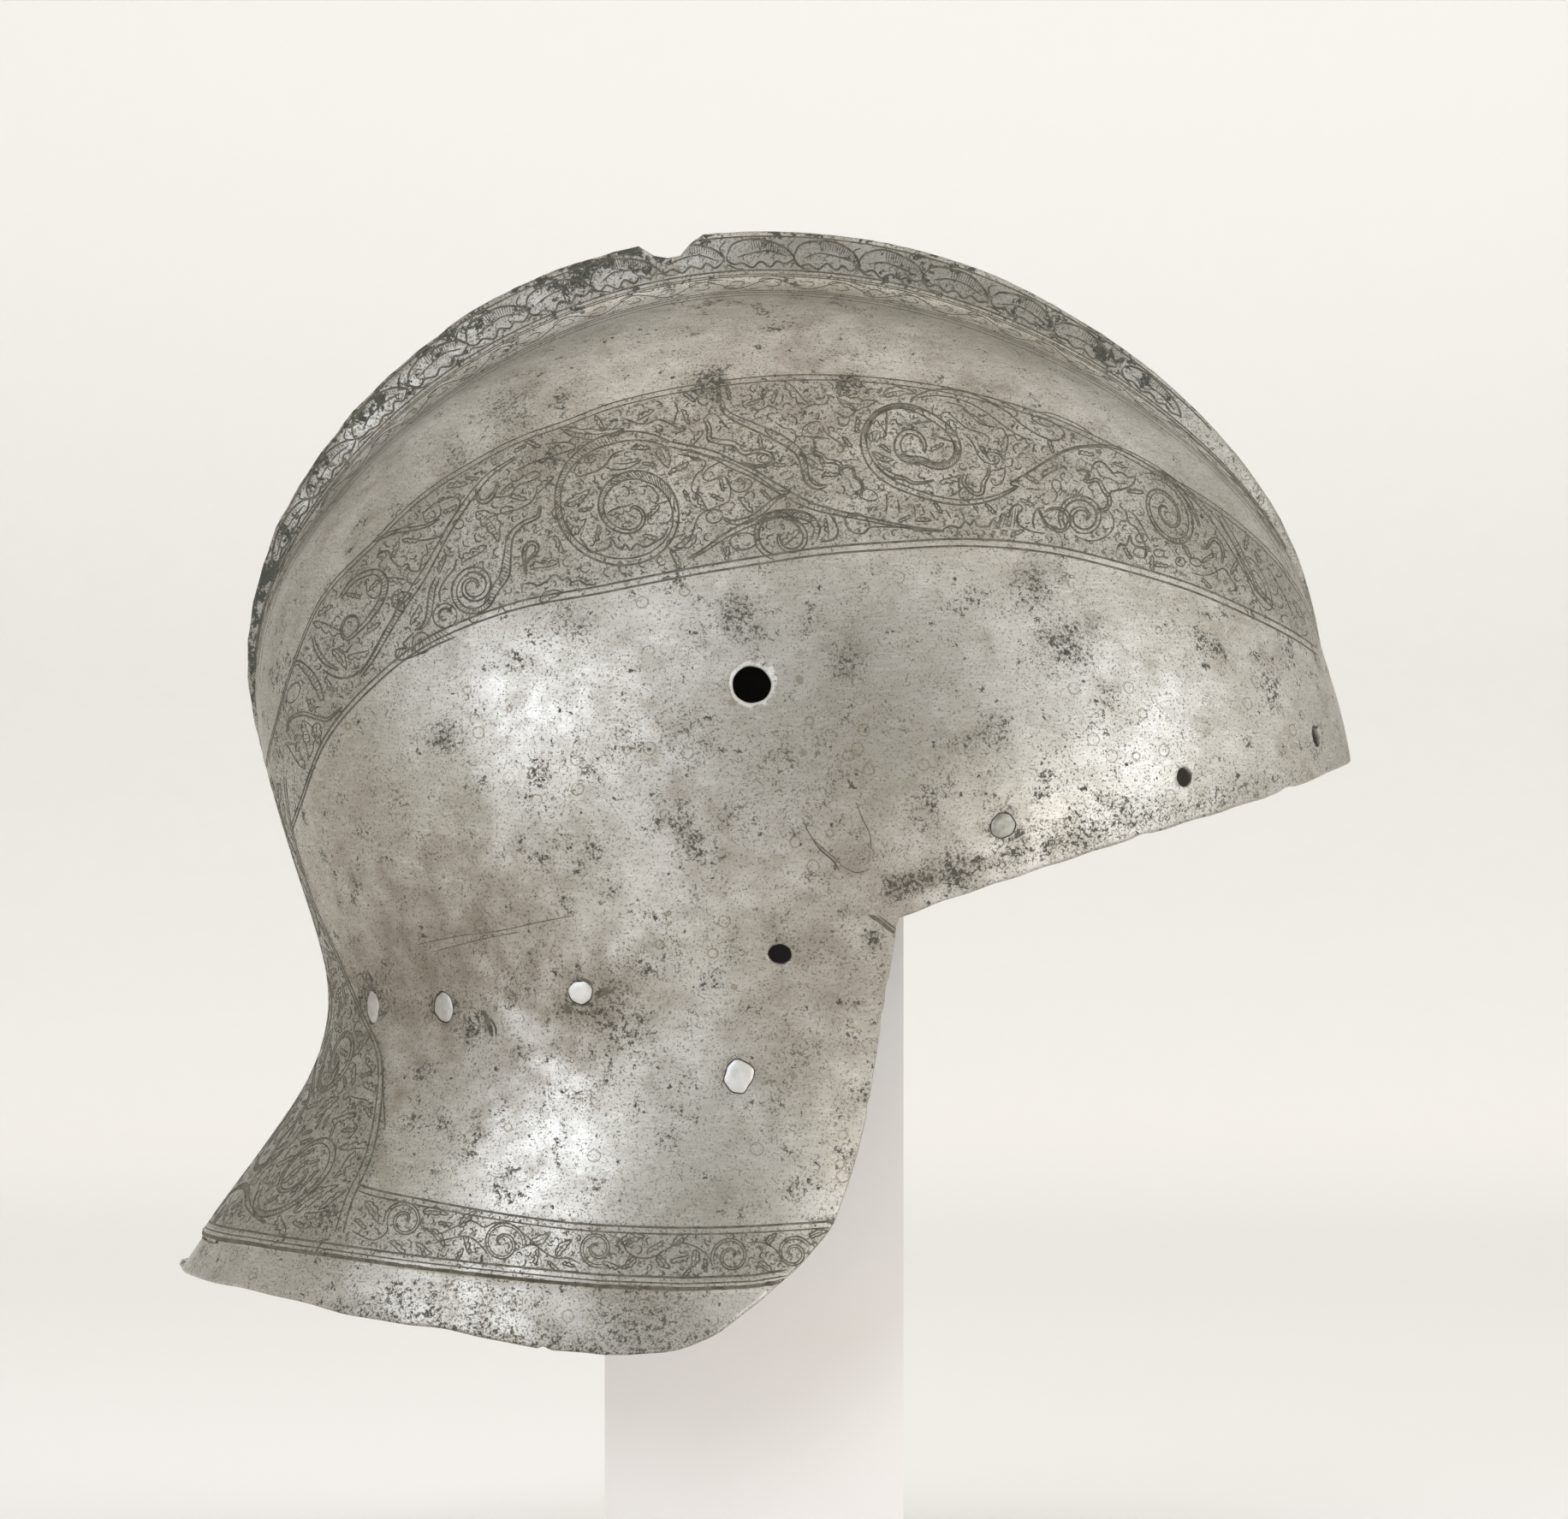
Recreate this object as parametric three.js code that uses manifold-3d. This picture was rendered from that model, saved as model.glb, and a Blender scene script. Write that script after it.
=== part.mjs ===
// The bowl of a close helmet on a plain display post, in millimetres.
//
// The bowl is one raised steel plate: a rounded skull with a low comb along its crest, cut away in
// front for the face, drawn in at the neck and flared over the nape. Five filled lining holes sit on
// each side as separate flush rivets. The bowl hangs over a square post with a domed top.
//
// Frame: origin at the centre of the post's foot, +X to the front of the helmet, +Y to the wearer's
// left, +Z up. The helmet is mirrored about the plane Y = 0.

import * as THREE from "three";
import { mergeVertices } from "three/addons/utils/BufferGeometryUtils.js";
import Module from "manifold-3d";

const wasm = await Module();
wasm.setup();

// ---------------------------------------------------------------- driving dimensions

const PLATE = 1.6; // thickness of the steel
const GAP = 0.35; // clearance between pieces that touch

// The plain bowl without its comb, from the top down to under the rim. At each height: where its
// outline meets the middle plane at the back and in front, and its half width. Below the brow the
// front values only steer the cheeks, because the face is open there.
const STATIONS = [
  { z: 314.5, back: 3, front: 3, half: 0 },
  { z: 303, back: -50, front: 62, half: 36 },
  { z: 281, back: -85.5, front: 101, half: 61 },
  { z: 260, back: -105.5, front: 123, half: 76 },
  { z: 240, back: -117.5, front: 134.8, half: 86 },
  { z: 222, back: -121.5, front: 140.8, half: 92.2 },
  { z: 204, back: -120.8, front: 145.6, half: 95.8 },
  { z: 184, back: -116, front: 146, half: 96.5 },
  { z: 162, back: -109, front: 138, half: 94 },
  { z: 141, back: -104.7, front: 122, half: 90 },
  { z: 122, back: -109.7, front: 108, half: 89 },
  { z: 103, back: -122, front: 100, half: 90.5 },
  { z: 84, back: -136, front: 97, half: 93.5 },
  { z: 56, back: -154, front: 97, half: 98 },
];
const ROUNDNESS_BACK = 2.25; // superellipse powers of the level sections
const ROUNDNESS_FRONT = 2.05;

// The rim as [x, z] seen from the side, in its three edges.
const BROW_EDGE = [[146.2, 199.4], [122.3, 190.9], [84.5, 179.6], [48, 167.8], [34.2, 162.7]];
const CHEEK_EDGE = [
  [34.2, 162.7], [31, 143.5], [28.2, 125], [25.6, 111], [21, 96], [17, 88.1], [8, 78.6], [-3, 69.5],
];
const NAPE_EDGE = [
  [-3, 69.5], [-10, 65], [-18, 62.2], [-32, 61.1], [-53, 63], [-72, 66.7], [-92.6, 69.2],
  [-113.7, 73.4], [-131.1, 75.6], [-140.9, 76.2],
];

// The comb: a steep ridge on a hollow fillet, highest over the crown and running out at both ends.
const COMB = {
  centreX: 3, // the angles below are taken about this point, from the front over the top
  centreZ: 205,
  ridge: 10, // height of the steep part
  ridgeHalf: 3.6, // its half thickness at mid height
  fillet: 5.5, // height of the fillet under it
  filletHalf: 8,
  startsAt: 9, // degrees
  fullFrom: 86,
  fullTo: 118,
  endsAt: 186,
};

// Round holes as side-view position and radius; each is on both sides. Filled ones hold a rivet.
const OPEN_HOLES = [
  { name: "visor_pivot", x: -0.4, z: 217.7, r: 4.4 },
  { name: "neck_hole", x: 6.2, z: 154.4, r: 2.7 },
  { name: "brow_hole", x: 101.9, z: 195.9, r: 2.3 },
  { name: "brow_tip_hole", x: 135.4, z: 205.7, r: 2.2 },
];
const FILLED_HOLES = [
  { name: "brow_rivet", x: 58.5, z: 184.5, r: 2.8 },
  { name: "cheek_rivet", x: -3.4, z: 125.7, r: 3.1 },
  { name: "neck_rivet_1", x: -40.7, z: 145.2, r: 2.5 },
  { name: "neck_rivet_2", x: -73.6, z: 141.2, r: 2.8 },
  { name: "neck_rivet_3", x: -91.4, z: 140.7, r: 2.8 },
];
const RIVET = { burr: 1.3, burrDepth: 1.1, sides: 16 }; // the peened end inside the bowl

const POST = { width: 72, cells: 8, clearance: 0.9 };

// Mesh of the bowl: columns along each edge, and rows from the crest to the rim.
const BROW_COLUMNS = 17;
const CHEEK_COLUMNS = 13;
const NAPE_COLUMNS = 18;
const CREST_ROWS = [0, 1.7, 3, 4.2, 5.6, 8, 11.5, 16]; // distance from the middle plane
const SIDE_ROWS = 10;

// ---------------------------------------------------------------- curves

// Natural cubic spline through (t, v), with t rising.
function naturalSpline(t, v) {
  const n = t.length;
  const second = new Array(n).fill(0);
  const upper = new Array(n).fill(0);
  for (let i = 1; i < n - 1; i++) {
    const before = t[i] - t[i - 1];
    const after = t[i + 1] - t[i];
    const pivot = 2 * (before + after) - before * upper[i - 1];
    const bend = 6 * ((v[i + 1] - v[i]) / after - (v[i] - v[i - 1]) / before);
    upper[i] = after / pivot;
    second[i] = (bend - before * second[i - 1]) / pivot;
  }
  for (let i = n - 2; i > 0; i--) second[i] -= upper[i] * second[i + 1];
  return (x) => {
    let i = 0;
    while (i < n - 2 && x > t[i + 1]) i++;
    const h = t[i + 1] - t[i];
    const a = (t[i + 1] - x) / h;
    const b = (x - t[i]) / h;
    return a * v[i] + b * v[i + 1] + (((a ** 3 - a) * second[i] + (b ** 3 - b) * second[i + 1]) * h * h) / 6;
  };
}

// A smooth curve through [x, z] points, by its share of length from 0 to 1.
function curveThrough(points) {
  const curve = new THREE.CatmullRomCurve3(
    points.map(([x, z]) => new THREE.Vector3(x, 0, z)),
    false,
    "centripetal",
  );
  return (share) => curve.getPoint(share);
}

// ---------------------------------------------------------------- the plain bowl

const TOP = STATIONS[0].z;
const LOWEST = STATIONS[STATIONS.length - 1].z;

// A measure of depth below the top in which a rounded top is a straight line.
const depthOf = (z) => Math.sqrt(Math.max(TOP - z, 0) / (TOP - LOWEST));
const heightOf = (depth) => TOP - depth * depth * (TOP - LOWEST);

const depths = STATIONS.map((s) => depthOf(s.z));
const backAt = naturalSpline(depths, STATIONS.map((s) => s.back));
const frontAt = naturalSpline(depths, STATIONS.map((s) => s.front));
const halfAt = naturalSpline(depths, STATIONS.map((s) => s.half));

// Half width of the plain bowl over a point of the side view.
function halfWidth(x, z) {
  const depth = depthOf(z);
  const back = backAt(depth);
  const front = frontAt(depth);
  const reach = Math.max((front - back) / 2, 1e-6);
  const offset = x - (front + back) / 2;
  const power = offset < 0 ? ROUNDNESS_BACK : ROUNDNESS_FRONT;
  const share = Math.min(Math.abs(offset) / reach, 1);
  return Math.max(halfAt(depth), 0) * (1 - share ** power) ** (1 / power);
}

// ---------------------------------------------------------------- the comb

// How much of the comb's full height stands at an angle round the crown.
function combShare(x, z) {
  const angle = THREE.MathUtils.radToDeg(Math.atan2(z - COMB.centreZ, x - COMB.centreX));
  const turned = angle < -90 ? angle + 360 : angle;
  const rising = Math.min(Math.max((turned - COMB.startsAt) / (COMB.fullFrom - COMB.startsAt), 0), 1);
  const falling = Math.min(Math.max((COMB.endsAt - turned) / (COMB.endsAt - COMB.fullTo), 0), 1);
  return Math.sin((rising * Math.PI) / 2) ** 1.1 * Math.sin((falling * Math.PI) / 2) ** 1.3;
}

// Height of the comb's section at a distance from the middle plane. Inside the bowl the section is
// the same, one plate thinner.
function combSection(y, inset = 0) {
  const half = COMB.ridgeHalf - inset;
  const ridge = (COMB.ridge - inset) / (1 + (Math.abs(y) / half) ** 6);
  return ridge + COMB.fillet * Math.exp(-((y / (COMB.filletHalf - inset)) ** 2));
}

// ---------------------------------------------------------------- the bowl's mesh

// The middle line from the tip of the brow over the crown to the tip of the nape.
function middleLine() {
  const points = [];
  const steps = 400;
  const brow = depthOf(BROW_EDGE[0][1]);
  const nape = depthOf(NAPE_EDGE[NAPE_EDGE.length - 1][1]);
  for (let i = 0; i <= steps; i++) {
    const depth = brow * (1 - i / steps);
    points.push(new THREE.Vector3(frontAt(depth), 0, heightOf(depth)));
  }
  for (let i = 1; i <= steps; i++) {
    const depth = (nape * i) / steps;
    points.push(new THREE.Vector3(backAt(depth), 0, heightOf(depth)));
  }
  return points;
}

// Reads a polyline at a share of its length.
function lengthReader(points) {
  const run = [0];
  for (let i = 1; i < points.length; i++) run.push(run[i - 1] + points[i].distanceTo(points[i - 1]));
  const total = run[run.length - 1];
  return (share) => {
    const target = share * total;
    let i = 1;
    while (i < run.length - 1 && run[i] < target) i++;
    const part = (target - run[i - 1]) / (run[i] - run[i - 1]);
    return points[i - 1].clone().lerp(points[i], part);
  };
}

// An edge of the rim, read at a share of its true length in space.
function edgeReader(edge) {
  const curve = curveThrough(edge);
  const points = [];
  const steps = 300;
  for (let i = 0; i <= steps; i++) {
    const p = curve(i / steps);
    points.push(new THREE.Vector3(p.x, halfWidth(p.x, p.z), p.z));
  }
  return lengthReader(points);
}

// Each column runs in the side view from a point of the middle line to a point of the rim.
function columns() {
  const middle = lengthReader(middleLine());
  const edges = [
    { read: edgeReader(BROW_EDGE), count: BROW_COLUMNS, from: 0, to: 0.37 },
    { read: edgeReader(CHEEK_EDGE), count: CHEEK_COLUMNS, from: 0.37, to: 0.73 },
    { read: edgeReader(NAPE_EDGE), count: NAPE_COLUMNS, from: 0.73, to: 1 },
  ];
  const list = [];
  for (const { read, count, from, to } of edges) {
    for (let i = list.length ? 1 : 0; i <= count; i++) {
      const share = i / count;
      const at = from + (to - from) * share;
      const start = middle(at);
      const ahead = middle(Math.min(at + 0.002, 1)).sub(middle(Math.max(at - 0.002, 0)));
      const outward = new THREE.Vector3(ahead.z, 0, -ahead.x).normalize();
      list.push({ start, end: read(share), outward });
    }
  }
  return list;
}

// The point of a column at a share of its way, on the side of the bowl that has y below 0.
function onColumn(column, share) {
  const x = THREE.MathUtils.lerp(column.start.x, column.end.x, share);
  const z = THREE.MathUtils.lerp(column.start.z, column.end.z, share);
  return new THREE.Vector3(x, -halfWidth(x, z), z);
}

// The share of a column at which the bowl has a wanted half width.
function shareAtWidth(column, width) {
  let low = 0;
  let high = 1;
  for (let i = 0; i < 40; i++) {
    const middle = (low + high) / 2;
    if (-onColumn(column, middle).y < width) low = middle;
    else high = middle;
  }
  return (low + high) / 2;
}

// One column's points on the plain bowl, from the crest to the rim.
function rowsOf(column) {
  const rim = -onColumn(column, 1).y;
  const widest = CREST_ROWS[CREST_ROWS.length - 1];
  const squeeze = Math.min(1, (0.5 * rim) / widest);
  const shares = CREST_ROWS.map((y) => (y === 0 ? 0 : shareAtWidth(column, y * squeeze)));
  const from = shares[shares.length - 1];
  for (let i = 1; i <= SIDE_ROWS; i++) {
    const part = i / SIDE_ROWS;
    shares.push(from + (1 - from) * part ** 1.45);
  }
  return shares.map((share) => onColumn(column, share));
}

// Builds the closed shell: an outer and an inner sheet on one grid, joined round the rim.
function bowlShell() {
  const list = columns();
  const rows = CREST_ROWS.length + SIDE_ROWS;
  const across = 2 * rows - 1; // right rim, crest, left rim
  const last = list.length - 1;
  const plain = list.map((column) => {
    const right = rowsOf(column);
    const left = right.slice(1).map((p) => new THREE.Vector3(p.x, -p.y, p.z));
    return [...right.reverse(), ...left];
  });
  const isTip = (i) => i === 0 || i === last;

  // Grid indices: the tips are one vertex each.
  const index = [];
  const points = [];
  plain.forEach((line, i) => {
    if (isTip(i)) {
      index.push(new Array(across).fill(points.length));
      points.push(list[i].start.clone());
      return;
    }
    index.push(line.map((p) => points.push(p) - 1));
  });
  const faces = [];
  for (let i = 0; i < last; i++) {
    for (let j = 0; j < across - 1; j++) {
      const [a, b, c, d] = [index[i][j], index[i + 1][j], index[i + 1][j + 1], index[i][j + 1]];
      if (a !== d) faces.push([a, b, d]);
      if (b !== c) faces.push([b, c, d]);
    }
  }

  // Outward normals of the plain bowl.
  const normals = points.map(() => new THREE.Vector3());
  for (const [a, b, c] of faces) {
    const ab = points[b].clone().sub(points[a]);
    const ac = points[c].clone().sub(points[a]);
    const n = ab.cross(ac);
    for (const k of [a, b, c]) normals[k].add(n);
  }
  normals.forEach((n) => n.normalize());
  const facesOut = normals[index[Math.floor(last / 2)][rows - 1]].z > 0;
  if (!facesOut) {
    normals.forEach((n) => n.negate());
    faces.forEach((f) => f.reverse());
  }

  // Raise the comb on both sheets and set the inner one in by the plate's thickness.
  const outer = points.map((p) => p.clone());
  const inner = points.map((p, k) => p.clone().addScaledVector(normals[k], -PLATE));
  const raised = new Set();
  for (let i = 1; i < last; i++) {
    for (let j = 0; j < across; j++) {
      const k = index[i][j];
      if (raised.has(k)) continue;
      raised.add(k);
      const share = combShare(list[i].start.x, list[i].start.z);
      const y = points[k].y;
      outer[k].addScaledVector(list[i].outward, share * combSection(y));
      inner[k].addScaledVector(list[i].outward, share * combSection(y, PLATE + 0.3));
    }
  }

  const all = [...outer, ...inner];
  const shift = outer.length;
  const triangles = [...faces, ...faces.map(([a, b, c]) => [c + shift, b + shift, a + shift])];
  for (const j of [0, across - 1]) {
    for (let i = 0; i < last; i++) {
      const [a, b] = [index[i][j], index[i + 1][j]];
      const outwards = (j === 0) === facesOut;
      const quad = outwards ? [a, b, b + shift, a + shift] : [b, a, a + shift, b + shift];
      triangles.push([quad[0], quad[2], quad[1]], [quad[0], quad[3], quad[2]]);
    }
  }
  return geometryOf(all, triangles);
}

function geometryOf(points, triangles) {
  const geometry = new THREE.BufferGeometry();
  const positions = new Float32Array(points.flatMap((p) => [p.x, p.y, p.z]));
  geometry.setAttribute("position", new THREE.BufferAttribute(positions, 3));
  geometry.setIndex(triangles.flat());
  return geometry;
}

// ---------------------------------------------------------------- solids

function solidOf(geometry) {
  const bare = geometry.clone();
  bare.deleteAttribute("normal");
  bare.deleteAttribute("uv");
  const merged = mergeVertices(bare, 1e-4);
  return new wasm.Manifold(
    new wasm.Mesh({
      numProp: 3,
      vertProperties: merged.attributes.position.array,
      triVerts: new Uint32Array(merged.index.array),
    }),
  );
}

function geometryOfSolid(solid) {
  const mesh = solid.getMesh();
  const positions = new Float32Array(mesh.numVert * 3);
  for (let i = 0; i < mesh.numVert; i++) {
    positions.set(mesh.vertProperties.subarray(i * mesh.numProp, i * mesh.numProp + 3), i * 3);
  }
  const geometry = new THREE.BufferGeometry();
  geometry.setAttribute("position", new THREE.BufferAttribute(positions, 3));
  geometry.setIndex(new THREE.BufferAttribute(mesh.triVerts, 1));
  return geometry;
}

// Where a hole stands on the bowl: its centre on the faceted plate and its outward normal. side is
// -1 on the right and 1 on the left.
function seatOf({ x, z }, side) {
  const step = 0.5;
  const y = halfWidth(x, z);
  const alongX = new THREE.Vector3(2 * step, halfWidth(x + step, z) - halfWidth(x - step, z), 0);
  const alongZ = new THREE.Vector3(0, halfWidth(x, z + step) - halfWidth(x, z - step), 2 * step);
  const upright = alongZ.cross(alongX).normalize();
  const normal = new THREE.Vector3(upright.x, side * upright.y, upright.z);
  const above = new THREE.Vector3(x, side * y, z).addScaledVector(normal, 10);
  const probe = new THREE.Raycaster(above, normal.clone().negate());
  return { centre: probe.intersectObject(plateMesh)[0].point, normal };
}

// Turns and moves a geometry made about +Y so that +Y is the seat's normal.
function placed(geometry, seat) {
  const turn = new THREE.Quaternion().setFromUnitVectors(new THREE.Vector3(0, 1, 0), seat.normal);
  return geometry
    .applyQuaternion(turn)
    .translate(seat.centre.x, seat.centre.y, seat.centre.z);
}

const plate = bowlShell();
const plateMesh = new THREE.Mesh(plate, new THREE.MeshStandardMaterial({ side: THREE.DoubleSide }));

const SIDES = [
  { name: "right", side: -1 },
  { name: "left", side: 1 },
];

function bowl() {
  let solid = solidOf(plate);
  for (const { side } of SIDES) {
    for (const hole of [...OPEN_HOLES, ...FILLED_HOLES]) {
      const drill = new THREE.CylinderGeometry(hole.r, hole.r, 16, RIVET.sides);
      solid = solid.subtract(solidOf(placed(drill, seatOf(hole, side))));
    }
  }
  return geometryOfSolid(solid);
}

// A flush rivet: a shank through the plate with a burr spread inside it.
function rivet(hole, side) {
  const shank = hole.r - GAP;
  const burr = hole.r + RIVET.burr;
  const under = -PLATE - GAP - 0.3;
  const profile = [
    [0, under - RIVET.burrDepth],
    [burr - 0.5, under - RIVET.burrDepth],
    [burr, under],
    [shank, under],
    [shank, -0.15],
    [shank - 0.3, 0.1],
    [0, 0.1],
  ];
  const points = profile.map(([r, y]) => new THREE.Vector2(r, y));
  return placed(new THREE.LatheGeometry(points, RIVET.sides), seatOf(hole, side));
}

// Height of the inside of the plain bowl over a point of the floor plan.
function ceiling(x, y) {
  let low = STATIONS[6].z;
  let high = TOP;
  for (let i = 0; i < 40; i++) {
    const middle = (low + high) / 2;
    if (halfWidth(x, middle) > Math.abs(y)) low = middle;
    else high = middle;
  }
  return low;
}

// The post: square, with its top domed to carry the inside of the crown.
function post() {
  const { width, cells } = POST;
  const geometry = new THREE.BoxGeometry(width, width, 1, cells, cells, 1);
  const position = geometry.attributes.position;
  const step = 1;
  for (let i = 0; i < position.count; i++) {
    const [x, y] = [position.getX(i), position.getY(i)];
    const top = ceiling(x, y);
    const slopeX = (ceiling(x + step, y) - ceiling(x - step, y)) / (2 * step);
    const slopeY = (ceiling(x, y + step) - ceiling(x, y - step)) / (2 * step);
    const slant = Math.hypot(1, slopeX, slopeY);
    const under = top - (PLATE + POST.clearance) * slant;
    position.setZ(i, position.getZ(i) > 0 ? under : 0);
  }
  return geometry;
}

// ---------------------------------------------------------------- materials and assembly

const steel = new THREE.MeshStandardMaterial({ color: 0xa9a59d, roughness: 0.42, metalness: 0.9 });
const filling = new THREE.MeshStandardMaterial({ color: 0xb9b8b2, roughness: 0.5, metalness: 0.85 });
const paint = new THREE.MeshStandardMaterial({ color: 0xece7e0, roughness: 0.85, metalness: 0 });

function piece(name, geometry, material) {
  const mesh = new THREE.Mesh(geometry, material);
  mesh.name = name;
  return mesh;
}

const helmet = new THREE.Group();
helmet.add(piece("helmet_bowl", bowl(), steel));
for (const { name, side } of SIDES) {
  for (const hole of FILLED_HOLES) {
    helmet.add(piece(`${hole.name}_${name}`, rivet(hole, side), filling));
  }
}

const group = new THREE.Group();
group.add(helmet);
group.add(piece("display_post", post(), paint));

export default group;
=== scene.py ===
"""The looks of a close helmet's bowl on a plain display post, in Blender.

The bowl is rebuilt as a fine closed shell on the same shape as its CAD solid, with the wear of the
real one: a bitten and broken comb, nicked edges, a recessed border, filled rivet holes and etched
scroll bands. Lengths below are in millimetres in the row frame, and turn into metres where a mesh
is made.
"""

import math
import random

import bpy
import numpy as np
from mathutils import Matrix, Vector
from mathutils.bvhtree import BVHTree


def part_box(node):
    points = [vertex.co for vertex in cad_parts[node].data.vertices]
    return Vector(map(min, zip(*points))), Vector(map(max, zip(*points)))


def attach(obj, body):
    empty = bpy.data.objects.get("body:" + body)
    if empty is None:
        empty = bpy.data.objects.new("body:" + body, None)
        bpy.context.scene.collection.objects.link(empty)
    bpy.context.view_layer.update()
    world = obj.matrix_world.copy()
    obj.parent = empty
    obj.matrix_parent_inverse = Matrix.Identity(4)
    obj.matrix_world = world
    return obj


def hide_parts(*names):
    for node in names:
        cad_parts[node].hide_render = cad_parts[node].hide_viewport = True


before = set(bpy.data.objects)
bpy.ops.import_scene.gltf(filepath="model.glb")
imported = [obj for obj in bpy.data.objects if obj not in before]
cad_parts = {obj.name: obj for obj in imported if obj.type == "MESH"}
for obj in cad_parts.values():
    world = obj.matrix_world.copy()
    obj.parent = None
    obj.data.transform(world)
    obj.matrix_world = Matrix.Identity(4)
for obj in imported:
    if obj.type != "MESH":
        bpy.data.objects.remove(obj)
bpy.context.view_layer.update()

MM = 0.001
RIGHT, LEFT = -1, 1

# ------------------------------------------------------------------ the shape of the bowl

PLATE = 1.6
# height, back and front of the outline in the middle plane, half width
STATIONS = np.array([
    (314.5, 3.0, 3.0, 0.0), (303.0, -50.0, 62.0, 36.0), (281.0, -85.5, 101.0, 61.0),
    (260.0, -105.5, 123.0, 76.0), (240.0, -117.5, 134.8, 86.0), (222.0, -121.5, 140.8, 92.2),
    (204.0, -120.8, 145.6, 95.8), (184.0, -116.0, 146.0, 96.5), (162.0, -109.0, 138.0, 94.0),
    (141.0, -104.7, 122.0, 90.0), (122.0, -109.7, 108.0, 89.0), (103.0, -122.0, 100.0, 90.5),
    (84.0, -136.0, 97.0, 93.5), (56.0, -154.0, 97.0, 98.0)])
TOP, LOWEST = STATIONS[0, 0], STATIONS[-1, 0]
ROUND_BACK, ROUND_FRONT = 2.25, 2.05
BROW_EDGE = [(146.2, 199.4), (122.3, 190.9), (84.5, 179.6), (48, 167.8), (34.2, 162.7)]
CHEEK_EDGE = [(34.2, 162.7), (31, 143.5), (28.2, 125), (25.6, 111), (21, 96), (17, 88.1), (8, 78.6),
              (-3, 69.5)]
NAPE_EDGE = [(-3, 69.5), (-10, 65), (-18, 62.2), (-32, 61.1), (-53, 63), (-72, 66.7),
             (-92.6, 69.2), (-113.7, 73.4), (-131.1, 75.6), (-140.9, 76.2)]
STEP_LINE = [(-137.5, 84.6), (-121, 84.3), (-100, 82.6), (-82.6, 80.8), (-64, 79), (-48, 77.6),
             (-36, 76.6), (-16, 75.9), (0, 76.4), (8, 77.6)]
# the comb's angles are in degrees round this centre, from the brow over the crown
COMB_CENTRE = (3.0, 205.0)
COMB_START, COMB_RISE, COMB_FALL, COMB_END = 9, 77, 68, 186
BITE_AT, BITE_HALF, BITE = 101.3, 3.3, 4.4
RIDGE, RIDGE_HALF, FILLET, FILLET_HALF = 9.9, 3.5, 5.4, 8.0
# depth of the recessed border, depth and width of the rounded lip, and what wear has taken off all over
RECESS, LIP, LIP_WIDTH, WORN_OFF = 0.95, 0.55, 0.75, 0.15


def spline(t, v):
    """A natural cubic spline through (t, v), as a function on arrays."""
    t, v = np.asarray(t, float), np.asarray(v, float)
    n = len(t)
    h = np.diff(t)
    a = np.zeros((n, n))
    b = np.zeros(n)
    a[0, 0] = a[-1, -1] = 1
    for i in range(1, n - 1):
        a[i, i - 1:i + 2] = h[i - 1], 2 * (h[i - 1] + h[i]), h[i]
        b[i] = 6 * ((v[i + 1] - v[i]) / h[i] - (v[i] - v[i - 1]) / h[i - 1])
    m = np.linalg.solve(a, b)

    def at(x):
        x = np.asarray(x, float)
        i = np.clip(np.searchsorted(t, x) - 1, 0, n - 2)
        p, q = (t[i + 1] - x) / h[i], (x - t[i]) / h[i]
        bend = ((p ** 3 - p) * m[i] + (q ** 3 - q) * m[i + 1]) * h[i] ** 2 / 6
        return p * v[i] + q * v[i + 1] + bend
    return at


def depth_of(z):
    """Distance below the top as a share whose square runs evenly from 0 to 1."""
    return np.sqrt(np.clip((TOP - np.asarray(z, float)) / (TOP - LOWEST), 0, None))


DEPTHS = depth_of(STATIONS[:, 0])
BACK, FRONT, HALF = (spline(DEPTHS, STATIONS[:, k]) for k in (1, 2, 3))


def half_width(x, z):
    """Half width of the plain bowl over points of the side view."""
    d = depth_of(z)
    back, front = BACK(d), FRONT(d)
    reach = np.maximum((front - back) / 2, 1e-6)
    off = np.asarray(x, float) - (front + back) / 2
    power = np.where(off < 0, ROUND_BACK, ROUND_FRONT)
    share = np.clip(np.abs(off) / reach, 0, 1)
    return np.clip(HALF(d), 0, None) * np.clip(1 - share ** power, 0, None) ** (1 / power)


def smooth(a, b, x):
    """0 up to a and 1 from b on, with a smooth step between them."""
    t = np.clip((np.asarray(x, float) - a) / (b - a), 0, 1)
    return t * t * (3 - 2 * t)


def follow(line, at):
    """The second number of a line's points, read at a value of the first."""
    first, second = np.transpose(line)
    return np.interp(at, first, second)


def catmull(points, step):
    """A smooth curve through the points, with samples about step apart."""
    p = np.asarray(points, float)
    if len(p) == 2:
        n = max(2, int(np.linalg.norm(p[1] - p[0]) / step) + 1)
        return p[0] + (p[1] - p[0]) * np.linspace(0, 1, n)[:, None]
    e = np.vstack([2 * p[0] - p[1], p, 2 * p[-1] - p[-2]])
    out = []
    for i in range(1, len(e) - 2):
        a, b, c, d = e[i - 1:i + 3]
        n = max(1, int(np.linalg.norm(c - b) / step))
        t = (np.arange(n) / n)[:, None]
        out.append(0.5 * (2 * b + (c - a) * t + (2 * a - 5 * b + 4 * c - d) * t ** 2
                          + (3 * b - a - 3 * c + d) * t ** 3))
    return np.vstack([*out, p[-1:]])


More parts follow.
